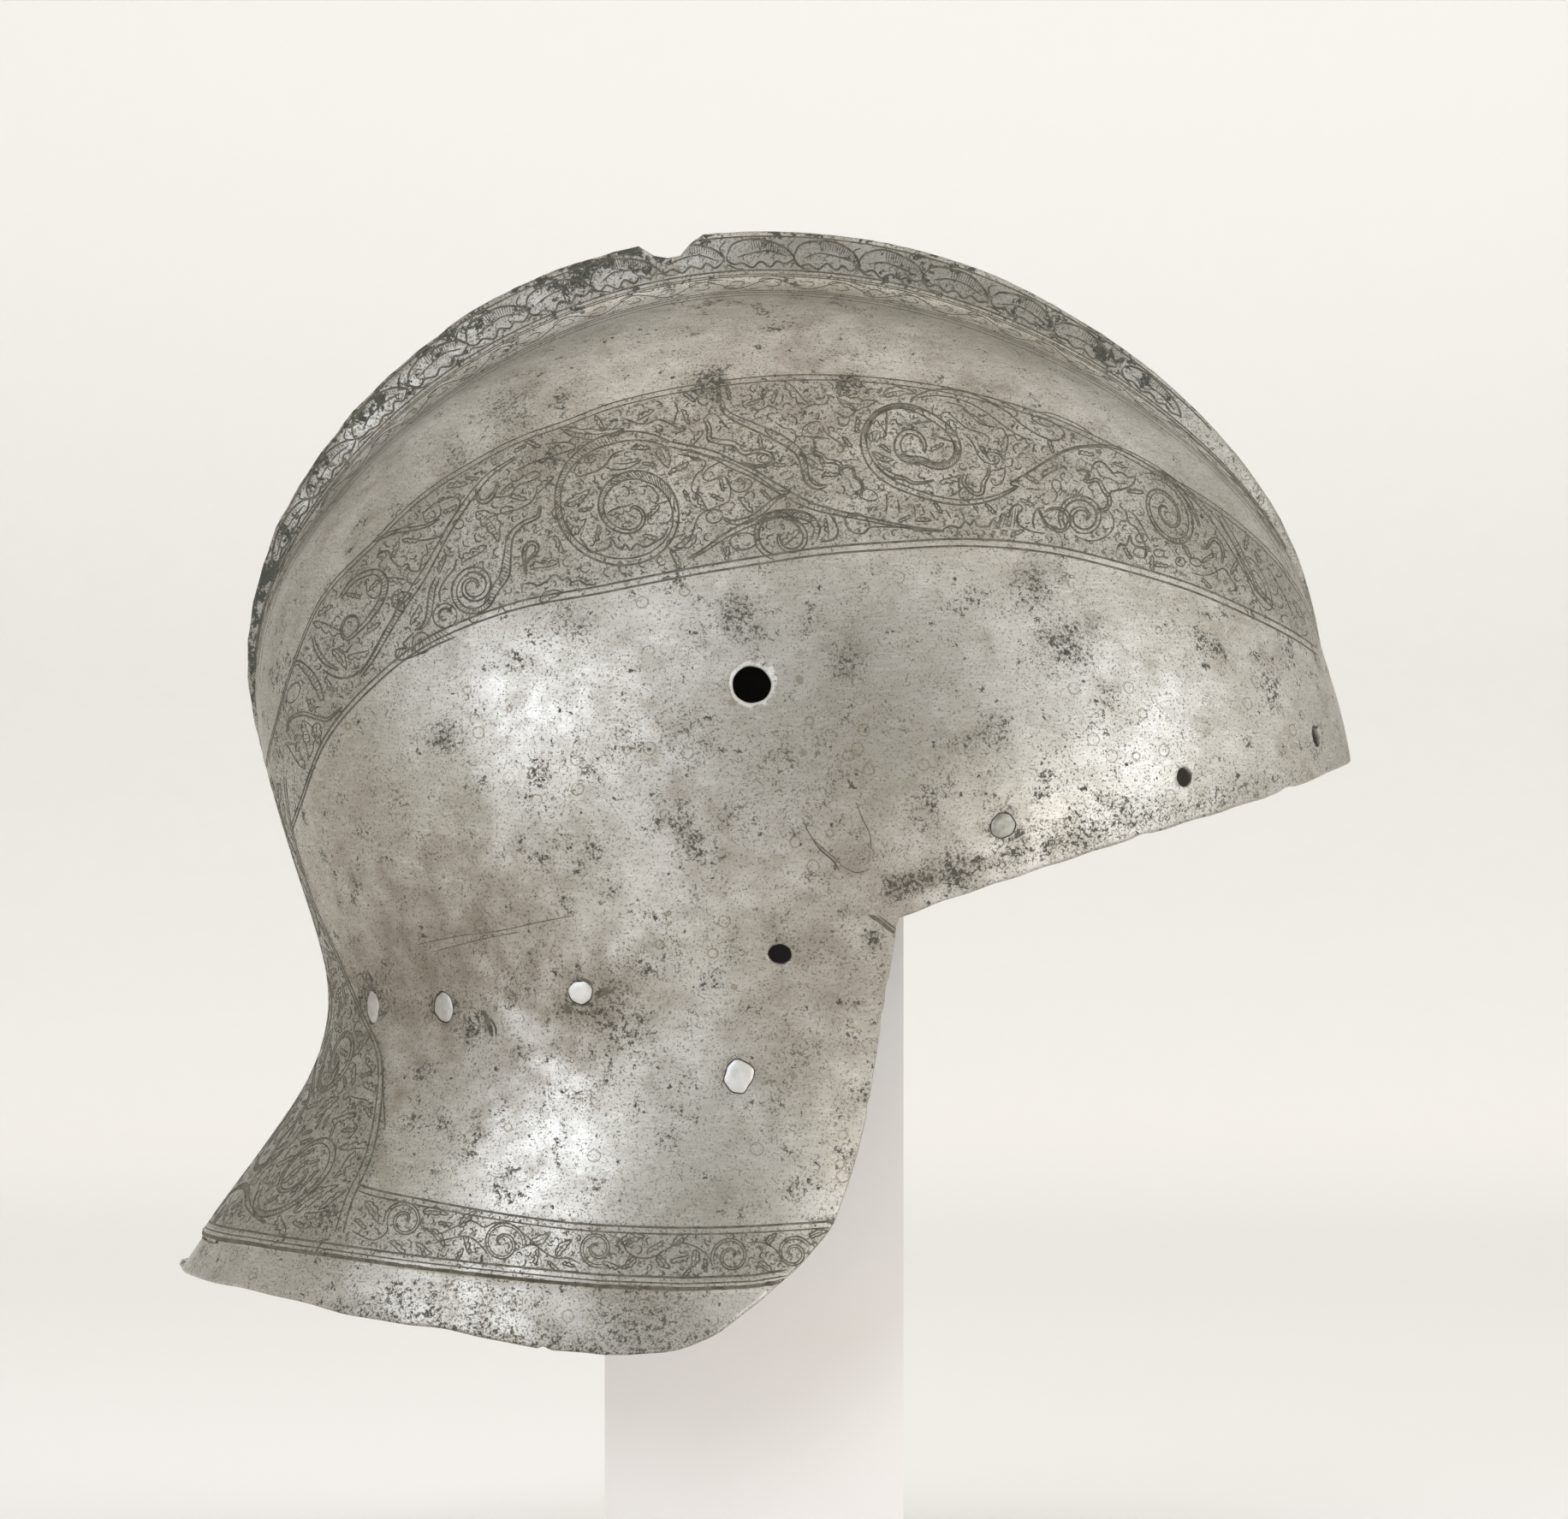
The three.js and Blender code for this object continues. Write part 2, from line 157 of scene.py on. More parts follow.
def value_noise(x, y, z, seed):
    """Smooth noise from -1 to 1 on points given in cells."""
    def corner(i, j, k):
        n = (i * 73856093) ^ (j * 19349663) ^ (k * 83492791) ^ (seed * 2654435761)
        n = (n ^ (n >> 13)) * 1274126177 & 0x7FFFFFFF
        return (n ^ (n >> 16)) % 100003 / 50001.5 - 1
    cell = [np.floor(c).astype(np.int64) for c in (x, y, z)]
    u, v, w = (smooth(0, 1, c - f) for c, f in zip((x, y, z), cell))
    i, j, k = cell
    total = 0
    for a in (0, 1):
        for b in (0, 1):
            for c in (0, 1):
                weight = (u if a else 1 - u) * (v if b else 1 - v) * (w if c else 1 - w)
                total = total + weight * corner(i + a, j + b, k + c)
    return total


# ------------------------------------------------------------------ columns and rows

# columns run from the crest to the rim: their number at each edge, and the edge's share of the crest
BROW_N, CHEEK_N, NAPE_N = 92, 66, 104
BROW_SHARE, CHEEK_SHARE = 0.37, 0.73
# rows: their half widths at the crest, and their number below it and on the inner sheet
CREST_Y = [0, 0.8, 1.5, 2.1, 2.6, 3.0, 3.4, 3.8, 4.3, 4.9, 5.7, 6.8, 8.2, 9.8, 11.6, 13.8, 16.5]
MID_ROWS, INNER_ROWS = 84, 26
# the recessed border: its least width, and where it ends in front
LEAST_STEP, BORDER_END = 2.2, 8.0
# scratches and gouges on the right side: start, run to the end, depth and half width
GOUGES = [(-44.5, 139.5, 12.5, 9.0, 0.5, 0.9), (-45.5, 138.5, 4.0, -1.5, 0.45, 1.0),
          (-65.5, 140.0, 2.2, -6.0, 0.6, 1.1), (-96, 146.5, 7.0, -3.0, 0.4, 1.2),
          (12.0, 184.0, 10.0, -9.5, 0.3, 0.9), (-88.0, 146.0, 1.5, -9.0, 0.3, 1.1)]
# nicks in the rim: place, depth and half width
NICKS = [(31.5, 146, 0.8, 3.0), (31.0, 139, 1.1, 2.4), (28.4, 118.5, 0.9, 2.6), (92, 182, 0.5, 2.0),
         (128, 193.0, 0.6, 2.2), (-48.5, 62.4, 1.5, 1.1), (33.8, 160.2, 1.3, 1.5)]


def polyline_reader(points):
    """A line as a function of the share of its length."""
    points = np.asarray(points, float)
    run = np.concatenate([[0], np.cumsum(np.linalg.norm(np.diff(points, axis=0), axis=1))])
    return lambda s: np.array([np.interp(s * run[-1], run, c) for c in points.T]).T


def edge_reader(edge):
    """An edge of the side view, with the bowl's half width, by the share of its length."""
    p = catmull(edge, 0.5)
    return polyline_reader(np.column_stack([p[:, 0], half_width(p[:, 0], p[:, 1]), p[:, 1]]))


def comb_share(x, z):
    """How much of the comb's full height stands at an angle round the crown, broken at the back."""
    a = np.degrees(np.arctan2(z - COMB_CENTRE[1], x - COMB_CENTRE[0]))
    a = np.where(a < -90, a + 360, a)
    rise = np.clip((a - COMB_START) / COMB_RISE, 0, 1)
    fall = np.clip((COMB_END - a) / COMB_FALL, 0, 1)
    share = np.sin(rise * np.pi / 2) * np.sin(fall * np.pi / 2) ** 1.3
    lost = 0.05 * smooth(157.5, 160, a) * smooth(176, 162, a)
    return np.clip(share - lost, 0, 1), a


def comb_bite(a):
    """Depth in mm that is bitten out of the ridge at an angle round the crown."""
    bite = BITE * smooth(0, 1, (BITE_HALF - np.abs(a - BITE_AT)) / 1.9)
    ragged = 0.35 * np.sin(a * 9.1) + 0.3 * np.sin(a * 23.7 + 1)
    worn = 0.12 * smooth(120, 132, a) * (1 + np.sin(a * 3.3))
    return np.clip(bite + worn + 0.25 * ragged * smooth(95, 105, a), 0, None)


def make_columns():
    """Each column's point on the crest, its point on the rim, and the way up from the crest."""
    brow, nape = depth_of(BROW_EDGE[0][1]), depth_of(NAPE_EDGE[-1][1])
    d1 = brow * (1 - np.linspace(0, 1, 600))
    d2 = nape * np.linspace(0, 1, 600)[1:]
    d = np.concatenate([d1, d2])
    x = np.concatenate([FRONT(d1), BACK(d2)])
    middle = polyline_reader(np.column_stack([x, 0 * x, TOP - d * d * (TOP - LOWEST)]))
    out = []
    for edge, n, a, b in ((BROW_EDGE, BROW_N, 0, BROW_SHARE), (CHEEK_EDGE, CHEEK_N, BROW_SHARE, CHEEK_SHARE),
                          (NAPE_EDGE, NAPE_N, CHEEK_SHARE, 1)):
        read = edge_reader(edge)
        for i in range(0 if not out else 1, n + 1):
            s = i / n
            at = a + (b - a) * s
            ahead = middle(min(at + 0.002, 1)) - middle(max(at - 0.002, 0))
            up = np.array([ahead[2], 0, -ahead[0]])
            out.append([middle(at), read(s), up / np.linalg.norm(up)])
    return out


def column_shares(start, end):
    """Shares of the way from the crest to the rim at which a column's rows stand."""
    s = np.linspace(0, 1, 1600) ** 1.6
    x, z = start[0] + (end[0] - start[0]) * s, start[2] + (end[2] - start[2]) * s
    h = half_width(x, z)
    run = np.concatenate([[0], np.cumsum(np.sqrt(np.diff(x) ** 2 + np.diff(z) ** 2 + np.diff(h) ** 2))])
    total = run[-1]
    rising = np.maximum.accumulate(h)
    squeeze = min(1.0, 0.42 * rising[-1] / CREST_Y[-1])
    crest = np.interp(np.array(CREST_Y) * squeeze, rising + np.arange(len(h)) * 1e-9, s)
    # rows stand close together at the step of the border, and again at the rim
    step = LEAST_STEP
    if end[0] < BORDER_END and end[2] < 78:
        over = z - follow(STEP_LINE, x)
        hit = np.where((over[:-1] > 0) & (over[1:] <= 0))[0]
        if len(hit):
            step = max(LEAST_STEP, total - run[hit[-1]])
    step = min(step, total * 0.35)
    border = [step + 0.75, step + 0.3, step, step - 0.3, step - 0.75]
    border += list(np.linspace(step - 0.75, 1.0, 7)[1:])
    border += [0.7, 0.42, 0.18, 0]
    squeeze_border = min(1.0, total * 0.4 / border[0])
    border = [b * squeeze_border for b in border]
    first = np.interp(crest[-1], s, run)
    last = total - border[0]
    if last <= first + 0.5:
        last = first + 0.5 * (total - first)
        border = list(np.linspace(total - last, 0, len(border)))
    mid = np.linspace(first, last, MID_ROWS + 2)[1:-1]
    runs = np.concatenate([mid, total - np.array(border)])
    return np.concatenate([crest, np.interp(runs, run, s)])


def nicked(start, end):
    """The rim's end of a column, which is slightly wavy and drawn in at the nicks."""
    for nick_x, nick_z, deep, half in NICKS:
        away = math.hypot(end[0] - nick_x, end[2] - nick_z)
        back = (start - end) * [1, 0, 1]
        end = end + back / max(np.linalg.norm(back), 1e-6) * deep * max(0, 1 - away / half)
    return end + [0, 0, 0.12 * math.sin(end[0] * 0.43 + end[2] * 0.31)]


def bowl_grid(columns):
    """The plain bowl as a grid of points and normals, from rim to rim over the crest in the middle."""
    right = []
    for start, end, _ in columns:
        end = nicked(start, end)
        shares = column_shares(start, end)
        x = start[0] + (end[0] - start[0]) * shares
        z = start[2] + (end[2] - start[2]) * shares
        right.append(np.column_stack([x, -half_width(x, z), z]))
    right = np.array(right)
    crest = right.shape[1] - 1
    grid = np.concatenate([right[:, ::-1], (right * [1, -1, 1])[:, 1:]], axis=1)
    # tips come together in one vertex
    grid[0], grid[-1] = columns[0][0], columns[-1][0]
    normal = np.cross(np.gradient(grid, axis=1), np.gradient(grid, axis=0))
    normal /= np.maximum(np.linalg.norm(normal, axis=2, keepdims=True), 1e-9)
    normal[0] = normal[1, crest]
    normal[-1] = normal[-2, crest]
    if normal[len(columns) // 2, crest][2] < 0:
        normal = -normal
    return grid, normal, crest


def comb_height(y, share, angle, inset):
    """Height of the comb over the plain bowl, or of the hollow inside it at a depth of inset."""
    ridge = (RIDGE - inset) / (1 + (np.abs(y) / (RIDGE_HALF - inset)) ** 6)
    fillet = FILLET * np.exp(-(y / (FILLET_HALF - inset)) ** 2)
    bite = np.where(share > 0.05, comb_bite(angle) * np.minimum(ridge / RIDGE, 1), 0)
    return np.maximum((ridge + fillet) * share - bite, fillet * share * 0.6)


def rim_lip(grid, crest):
    """How far the rim's edge is rounded off."""
    run = np.linalg.norm(np.diff(grid, axis=1), axis=2)
    near = np.cumsum(run[:, :crest], axis=1)
    from_rim = np.concatenate([np.zeros((len(grid), 1)), near], axis=1)
    far = np.concatenate([from_rim, from_rim[:, ::-1][:, 1:]], axis=1)
    return LIP * (1 - np.clip(far / LIP_WIDTH, 0, 1)) ** 2


def gouge_depth(x, y, z):
    """Depth of the scratches and gouges on the right side."""
    depth = np.zeros_like(x)
    for gx, gz, tx, tz, deep, half in GOUGES:
        along = np.clip(((x - gx) * tx + (z - gz) * tz) / (tx * tx + tz * tz), 0, 1)
        away = np.hypot(x - gx - along * tx, z - gz - along * tz)
        depth += (y < 0) * deep * np.exp(-(away / half) ** 2) * np.sin(np.pi * (0.15 + 0.7 * along))
    return depth


def join_sheets(outer, inner, crest):
    """Vertices and faces of the two sheets and the rim between them; the inner one keeps fewer rows."""
    n, across = outer.shape[:2]
    keep = np.unique(np.concatenate([np.arange(0, 6, 2), np.linspace(6, crest, INNER_ROWS).astype(int)]))
    keep = np.unique(np.concatenate([keep, across - 1 - keep]))
    verts, faces = [], []

    def add_sheet(sheet, picked):
        index = np.zeros((n, len(picked)), int)
        for i in range(n):
            if i in (0, n - 1):
                index[i] = len(verts)
                verts.append(sheet[i, crest])
                continue
            index[i] = np.arange(len(verts), len(verts) + len(picked))
            verts.extend(sheet[i, picked])
        return index

    def ring(*corners):
        face = list(dict.fromkeys(int(c) for c in corners))
        if len(face) > 2:
            faces.append(face)

    a, b = add_sheet(outer, np.arange(across)), add_sheet(inner, keep)
    for i in range(n - 1):
        for j in range(across - 1):
            ring(a[i, j], a[i, j + 1], a[i + 1, j + 1], a[i + 1, j])
        for j in range(len(keep) - 1):
            ring(b[i, j], b[i + 1, j], b[i + 1, j + 1], b[i, j + 1])
        ring(a[i, 0], a[i + 1, 0], b[i + 1, 0], b[i, 0])
        ring(a[i, -1], b[i, -1], b[i + 1, -1], a[i + 1, -1])
    return np.array(verts), faces


def bowl_shell():
    """Vertices and faces of the closed shell, in mm."""
    columns = make_columns()
    grid, normal, crest = bowl_grid(columns)
    x, y, z = np.moveaxis(grid, 2, 0)
    starts, ups = (np.array([c[k] for c in columns])[:, None] for k in (0, 2))
    share, angle = comb_share(starts[..., 0], starts[..., 2])

    # the surface is not quite even: hammer work, a recessed border, rounded lips and old damage
    uneven = (0.30 * value_noise(x / 26, y / 26, z / 26, 3) + 0.10 * value_noise(x / 9, y / 9, z / 9, 5))
    recess = smooth(-0.45, 0.45, follow(STEP_LINE, x) - z) * (x < BORDER_END + 1) * RECESS
    lip = rim_lip(grid, crest)
    out_shift = uneven - recess - lip - gouge_depth(x, y, z) - WORN_OFF
    tall = comb_height(y, share, angle, 0)
    outer = grid + normal * out_shift[:, :, None]
    outer += ups * tall[:, :, None]
    rag = 0.12 * value_noise(x / 1.9, y / 1.9, z / 1.9, 11) * (tall > 3)
    outer += ups * rag[:, :, None]
    inner = grid + normal * (uneven * 0.8 - PLATE - recess * 0.9 + lip * 0.8)[:, :, None]
    inner += ups * comb_height(y, share, angle, PLATE + 0.2)[:, :, None]
    for tip in (0, -1):
        outer[tip] = starts[tip] - normal[tip, crest] * 0.2
        inner[tip] = outer[tip] - normal[tip, crest] * (PLATE - 0.4)
    return join_sheets(outer, inner, crest)


def mesh_object(name, verts, faces, material, scale=MM):
    mesh = bpy.data.meshes.new(name)
    mesh.from_pydata([tuple(v) for v in np.asarray(verts) * scale], [], faces)
    mesh.update()
    obj = bpy.data.objects.new(name, mesh)
    bpy.context.scene.collection.objects.link(obj)
    if material is not None:
        mesh.materials.append(material)
    return obj


def shade(obj, angle=None):
    mesh = obj.data
    mesh.polygons.foreach_set("use_smooth", np.ones(len(mesh.polygons), bool))
    if angle is not None:
        mesh.set_sharp_from_angle(angle=math.radians(angle))
    mesh.update()


# ------------------------------------------------------------------ materials

class Nodes:
    """A short way to write a material's node tree."""

    def __init__(self, name):
        self.material = bpy.data.materials.new(name)
        self.material.use_nodes = True
        self.tree = self.material.node_tree
        self.tree.nodes.clear()
        self.shader = self.tree.nodes.new("ShaderNodeBsdfPrincipled")
        out = self.tree.nodes.new("ShaderNodeOutputMaterial")
        self.link(self.shader.outputs[0], out.inputs["Surface"])
        self.place = self.tree.nodes.new("ShaderNodeTexCoord").outputs["Object"]

    def link(self, a, b):
        self.tree.links.new(a, b)

    def put(self, socket, value):
        if isinstance(value, bpy.types.NodeSocket):
            self.link(value, socket)
        elif isinstance(value, (tuple, list)) and len(value) == 3 and socket.type == "RGBA":
            socket.default_value = (*value, 1)
        else:
            socket.default_value = value

    def set(self, **values):
        for key, value in values.items():
            self.put(self.shader.inputs[key.replace("_", " ")], value)

    def math(self, operation, a, b=0.0):
        node = self.tree.nodes.new("ShaderNodeMath")
        node.operation = operation
        for socket, value in zip(node.inputs, (a, b)):
            self.put(socket, value)
        return node.outputs[0]

    def add(self, a, b):
        return self.math("ADD", a, b)

    def less(self, a, b):
        return self.math("SUBTRACT", a, b)

    def mul(self, a, b):
        return self.math("MULTIPLY", a, b)

    def larger(self, a, b):
        return self.math("MAXIMUM", a, b)

    def scaled(self, scale=(1, 1, 1), shift=(0, 0, 0)):
        node = self.tree.nodes.new("ShaderNodeMapping")
        self.link(self.place, node.inputs["Vector"])
        node.inputs["Scale"].default_value = scale
        node.inputs["Location"].default_value = shift
        return node.outputs[0]

    def noise(self, scale, detail=3.0, rough=0.55, where=None):
        node = self.tree.nodes.new("ShaderNodeTexNoise")
        self.link(where or self.place, node.inputs["Vector"])
        node.inputs["Scale"].default_value = scale
        node.inputs["Detail"].default_value = detail
        node.inputs["Roughness"].default_value = rough
        return node.outputs["Fac"]

    def cells(self, scale, where):
        node = self.tree.nodes.new("ShaderNodeTexVoronoi")
        self.link(where, node.inputs["Vector"])
        node.inputs["Scale"].default_value = scale
        return node.outputs["Distance"]

    def range(self, value, a, b, c=0.0, d=1.0):
        node = self.tree.nodes.new("ShaderNodeMapRange")
        node.interpolation_type = "SMOOTHSTEP"
        for key, v in (("Value", value), ("From Min", a), ("From Max", b), ("To Min", c), ("To Max", d)):
            self.put(node.inputs[key], v)
        return node.outputs["Result"]

    def mix(self, share, a, b):
        node = self.tree.nodes.new("ShaderNodeMix")
        node.data_type = "RGBA"
        for socket, value in ((node.inputs[0], share), (node.inputs[6], a), (node.inputs[7], b)):
            self.put(socket, value)
        return node.outputs[2]

    def attribute(self, name):
        node = self.tree.nodes.new("ShaderNodeAttribute")
        node.attribute_name = name
        return node.outputs["Fac"]

    def split(self, vector):
        node = self.tree.nodes.new("ShaderNodeSeparateXYZ")
        self.link(vector, node.inputs[0])
        return node.outputs

    def bump(self, height, distance, strength=1.0, normal=None):
        node = self.tree.nodes.new("ShaderNodeBump")
        node.inputs["Strength"].default_value = strength
        node.inputs["Distance"].default_value = distance
        self.put(node.inputs["Height"], height)
        if normal is not None:
            self.link(normal, node.inputs["Normal"])
        return node.outputs[0]


def steel_material():
    n = Nodes("aged_etched_steel")
    etched, corroded, stained = (n.attribute(k) for k in ("etched", "corroded", "stained"))
    inside, tarnished = n.attribute("inside"), n.attribute("tarnished")
    polished = n.range(n.attribute("polished"), 0.55, 0.95)
    cloud = n.noise(24, 5, 0.62)
    mottle = n.noise(130, 6, 0.7)
    fine = n.noise(1900, 3, 0.7)
    brushed = n.noise(210, 5, 0.75, n.scaled((1, 1, 8)))
    # small sharp pits lie everywhere and crowd together in patches
    patch = n.range(n.noise(105, 4, 0.72, n.scaled(shift=(0.3, 0.1, 0.7))), 0.50, 0.66)
    region = n.range(n.noise(19, 3, 0.6, n.scaled(shift=(1.3, 0.4, 2.1))), 0.36, 0.6, 0.35, 1.0)
    crowd = n.larger(n.mul(patch, region), n.mul(stained, 1.25))
    crowd = n.larger(crowd, n.mul(etched, 0.5))
    limit = n.less(0.632, n.mul(crowd, 0.122))
    pits = n.range(n.less(n.noise(880, 4, 0.72), limit), -0.004, 0.018)
    dust = n.range(n.less(fine, n.less(0.585, n.mul(crowd, 0.07))), -0.01, 0.02)
    smudge = n.range(n.noise(62, 5, 0.66, n.scaled(shift=(0.9, 2.2, 0.2))), 0.52, 0.68)
    # faint broken rings that drops of water left behind
    spots = n.add(n.cells(120, n.scaled(shift=(0.11, 0.07, 0.03))), n.mul(n.noise(420, 3, 0.6), 0.10))
    ring = n.mul(n.range(spots, 0.20, 0.22), n.range(spots, 0.26, 0.235))
    ring = n.mul(ring, n.range(n.noise(33, 2, 0.5, n.scaled(shift=(5, 1, 3))), 0.47, 0.55))

    colour = n.mix(n.range(cloud, 0.34, 0.68), (0.435, 0.408, 0.352), (0.61, 0.585, 0.54))
    colour = n.mix(n.range(mottle, 0.40, 0.66, 0.0, 0.34), colour, (0.34, 0.315, 0.26))
    colour = n.mix(n.range(brushed, 0.50, 0.66, 0.0, 0.26), colour, (0.78, 0.77, 0.75))
    colour = n.mix(n.range(brushed, 0.48, 0.34, 0.0, 0.24), colour, (0.31, 0.29, 0.25))
    colour = n.mix(n.mul(smudge, 0.42), colour, (0.25, 0.215, 0.165))
    haze = n.range(n.add(n.mul(cloud, 0.5), n.mul(mottle, 0.5)), 0.36, 0.6, 0.5, 1.0)
    colour = n.mix(n.mul(tarnished, haze), colour, (0.215, 0.178, 0.132))
    colour = n.mix(n.mul(etched, n.range(mottle, 0.25, 0.75, 0.16, 0.50)), colour, (0.27, 0.25, 0.205))
    colour = n.mix(n.mul(stained, n.range(mottle, 0.3, 0.7, 0.15, 0.5)), colour, (0.19, 0.165, 0.125))
    colour = n.mix(n.mul(dust, 0.62), colour, (0.13, 0.125, 0.098))
    colour = n.mix(n.mul(pits, n.range(crowd, 0.0, 0.8, 0.55, 0.92)), colour, (0.060, 0.056, 0.041))
    colour = n.mix(n.mul(ring, 0.6), colour, (0.20, 0.165, 0.11))
    colour = n.mix(n.mul(corroded, 0.35), colour, (0.30, 0.29, 0.25))
    crust = n.add(n.mul(n.noise(230, 6, 0.7), 0.62), n.mul(n.noise(850, 4, 0.75), 0.38))
    crust = n.less(crust, n.less(0.60, n.mul(corroded, 0.165)))
    crust = n.range(crust, -0.003, 0.012)
    colour = n.mix(n.mul(crust, 0.93), colour, (0.050, 0.054, 0.041))
    # the inside is painted near black, rougher and less metallic: partly a dark inner finish, partly painted
    # shade so that the holes look black
    colour = n.mix(n.mul(inside, 0.8), colour, (0.095, 0.082, 0.065))
    colour = n.mix(n.mul(polished, 0.5), colour, (0.82, 0.81, 0.77))

    rough = n.range(mottle, 0.3, 0.7, 0.39, 0.49)
    rough = n.add(rough, n.mul(n.larger(pits, dust), 0.22))
    rough = n.add(rough, n.mul(n.larger(crust, n.mul(inside, 0.7)), 0.25))
    rough = n.add(rough, n.add(n.mul(tarnished, 0.10), n.mul(polished, 0.2)))
    metal = n.less(0.95, n.mul(n.larger(pits, crust), 0.55))
    metal = n.less(metal, n.mul(n.larger(inside, polished), 0.3))
    low = n.bump(n.noise(70, 3, 0.55), 0.0005, 0.13)
    streak = n.bump(brushed, 0.00012, 0.3, low)
    deep = n.less(1.0, n.larger(pits, crust))
    top = n.bump(deep, 0.00008, 0.5, streak)
    n.set(Base_Color=colour, Roughness=rough, Metallic=metal, Normal=top)
    return n.material


def ink_material():
    # the same dark ink also draws the painted shadow under the border's step
    n = Nodes("etched_line_patina_and_step_shadow")
    worn = n.noise(380, 4, 0.7)
    colour = n.mix(n.range(worn, 0.35, 0.68), (0.072, 0.065, 0.046), (0.17, 0.153, 0.114))
    n.set(Base_Color=colour, Roughness=0.62, Metallic=0.35)
    return n.material


def rivet_material():
    n = Nodes("rivet_metal")
    patch = n.noise(260, 5, 0.65)
    fine = n.noise(1500, 4, 0.7)
    colour = n.mix(n.range(patch, 0.36, 0.66), (0.25, 0.238, 0.20), (0.41, 0.395, 0.355))
    colour = n.mix(n.range(fine, 0.56, 0.72, 0.0, 0.6), colour, (0.17, 0.165, 0.14))
    x, _, z = n.split(n.place)
    bare = n.mul(n.range(z, 0.155, 0.15), n.range(x, -0.065, -0.055, 0.4, 1.0))
    colour = n.mix(n.mul(bare, 0.6), colour, (0.82, 0.81, 0.78))
    n.set(Base_Color=colour, Roughness=n.range(patch, 0.3, 0.7, 0.36, 0.52), Metallic=0.85,
          Normal=n.bump(fine, 0.00012, 0.6))
    return n.material


def post_material():
    n = Nodes("matt_post_paint")
    cloud = n.noise(14, 3, 0.5)
    orange_peel = n.noise(900, 3, 0.55)
    brush = n.noise(120, 3, 0.6, n.scaled((1, 1, 0.06)))
    colour = n.mix(n.range(cloud, 0.3, 0.7), (0.87, 0.815, 0.765), (0.90, 0.85, 0.80))
    colour = n.mix(n.range(brush, 0.5, 0.8, 0.0, 0.3), colour, (0.89, 0.83, 0.775))
    x, y, z = n.split(n.place)
    # painted shade: near black round the top of the post inside the bowl, with a short tab behind the small
    # open hole of each cheek, so what shows through the holes is dark
    from_hole = n.math("ABSOLUTE", n.less(x, 0.006))
    hole_shade_tab = n.mul(n.range(n.math("ABSOLUTE", y), 0.0352, 0.0358), n.range(from_hole, 0.016, 0.013))
    painted_shade_patch = n.larger(n.range(z, 0.166, 0.172), n.mul(hole_shade_tab, n.range(z, 0.139, 0.144)))
    # painted light: the paint turns lighter towards the top, to make up for the shade that the bowl casts on
    # the post
    colour = n.mix(n.range(z, 0.02, 0.15), colour, (0.97, 0.93, 0.885))
    colour = n.mix(painted_shade_patch, colour, (0.012, 0.011, 0.010))
    n.set(Base_Color=colour, Roughness=0.78,
          Normal=n.bump(n.add(orange_peel, brush), 0.00008, 0.4))
    return n.material


def backdrop_material():
    n = Nodes("backdrop_paper")
    fibre = n.noise(60, 3, 0.5)
    colour = n.mix(fibre, (0.80, 0.785, 0.76), (0.83, 0.815, 0.79))
    _, y, z = n.split(n.place)
    # painted light: the paper is lighter over the floor and high on the wall, and darker in the bend between
    # them, to stand in for how the lamps fall on it
    painted_light_share = n.larger(n.range(y, 3.12, 2.3), n.range(z, 0.1, 0.7, 0.0, 0.9))
    colour = n.mix(painted_light_share, colour, (0.94, 0.925, 0.90))
    n.set(Base_Color=colour, Roughness=0.95)
    return n.material


STEEL, INK, RIVET, POST_PAINT = steel_material(), ink_material(), rivet_material(), post_material()

# ------------------------------------------------------------------ the bowl

verts, faces = bowl_shell()
low_corner, high_corner = (np.array(v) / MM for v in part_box("helmet_bowl"))
verts = np.clip(verts, low_corner + 0.02, high_corner - 0.02)
bowl = mesh_object("etched_bowl", verts, faces, STEEL)


def tree_of(obj):
    """The object's triangles, ready to be hit by rays."""
    obj.data.calc_loop_triangles()
    points = [v.co.copy() for v in obj.data.vertices]
    return BVHTree.FromPolygons(points, [tuple(t.vertices) for t in obj.data.loop_triangles])


PLAIN_TREE = tree_of(bowl)


def seat(x, z, side):
    """The point and outward normal of the bowl over a point of the side view, in metres."""
    hit, normal, _, _ = PLAIN_TREE.ray_cast(Vector((x, side * 300, z)) * MM, Vector((0, -side, 0)))
    if normal.y * side < 0:
        normal = -normal
    return hit, normal


def frame_of(normal):
    """Three axes with the third along the normal."""
    across = Vector((0, 0, 1)).cross(normal).normalized()
    return across, normal.cross(across).normalized(), normal


def ring_solid(where, rings, outline):
    """A closed solid of rings, each at a height along the normal and a share of the outline."""
    hit, normal = where
    u, v, w = frame_of(normal)
    n = len(outline)
    points, faces = [], []
    for height, share in rings:
        for a, r in outline:
            points.append(hit + (u * math.cos(a) + v * math.sin(a)) * (r * share * MM) + w * height * MM)
    for k in range(len(rings) - 1):
        for i in range(n):
            j = (i + 1) % n
            faces.append([k * n + i, k * n + j, (k + 1) * n + j, (k + 1) * n + i])
    faces.append(list(range(n))[::-1])
    faces.append([(len(rings) - 1) * n + i for i in range(n)])
    return points, faces


def outline_of(radius, n, seed, ragged, tall=1.0, square=0.0):
    """Angles and radii round a hole, a little ragged, and stretched upright or squared."""
    rng = random.Random(seed)
    phase = [rng.uniform(0, 6.28) for _ in range(4)]
    out = []
    for i in range(n):
        a = 2 * math.pi * i / n
        r = radius * (1 + ragged * math.sin(2 * a + phase[0]) + 0.6 * ragged * math.sin(3 * a + phase[1])
                      + 0.4 * ragged * math.sin(7 * a + phase[2]))
        r *= 1 + square * (1 / max(abs(math.cos(a + 0.5)), abs(math.sin(a + 0.5))) - 1)
        x, y = r * math.cos(a) / math.sqrt(tall), r * math.sin(a) * math.sqrt(tall)
        out.append((math.atan2(y, x), math.hypot(x, y)))
    return out


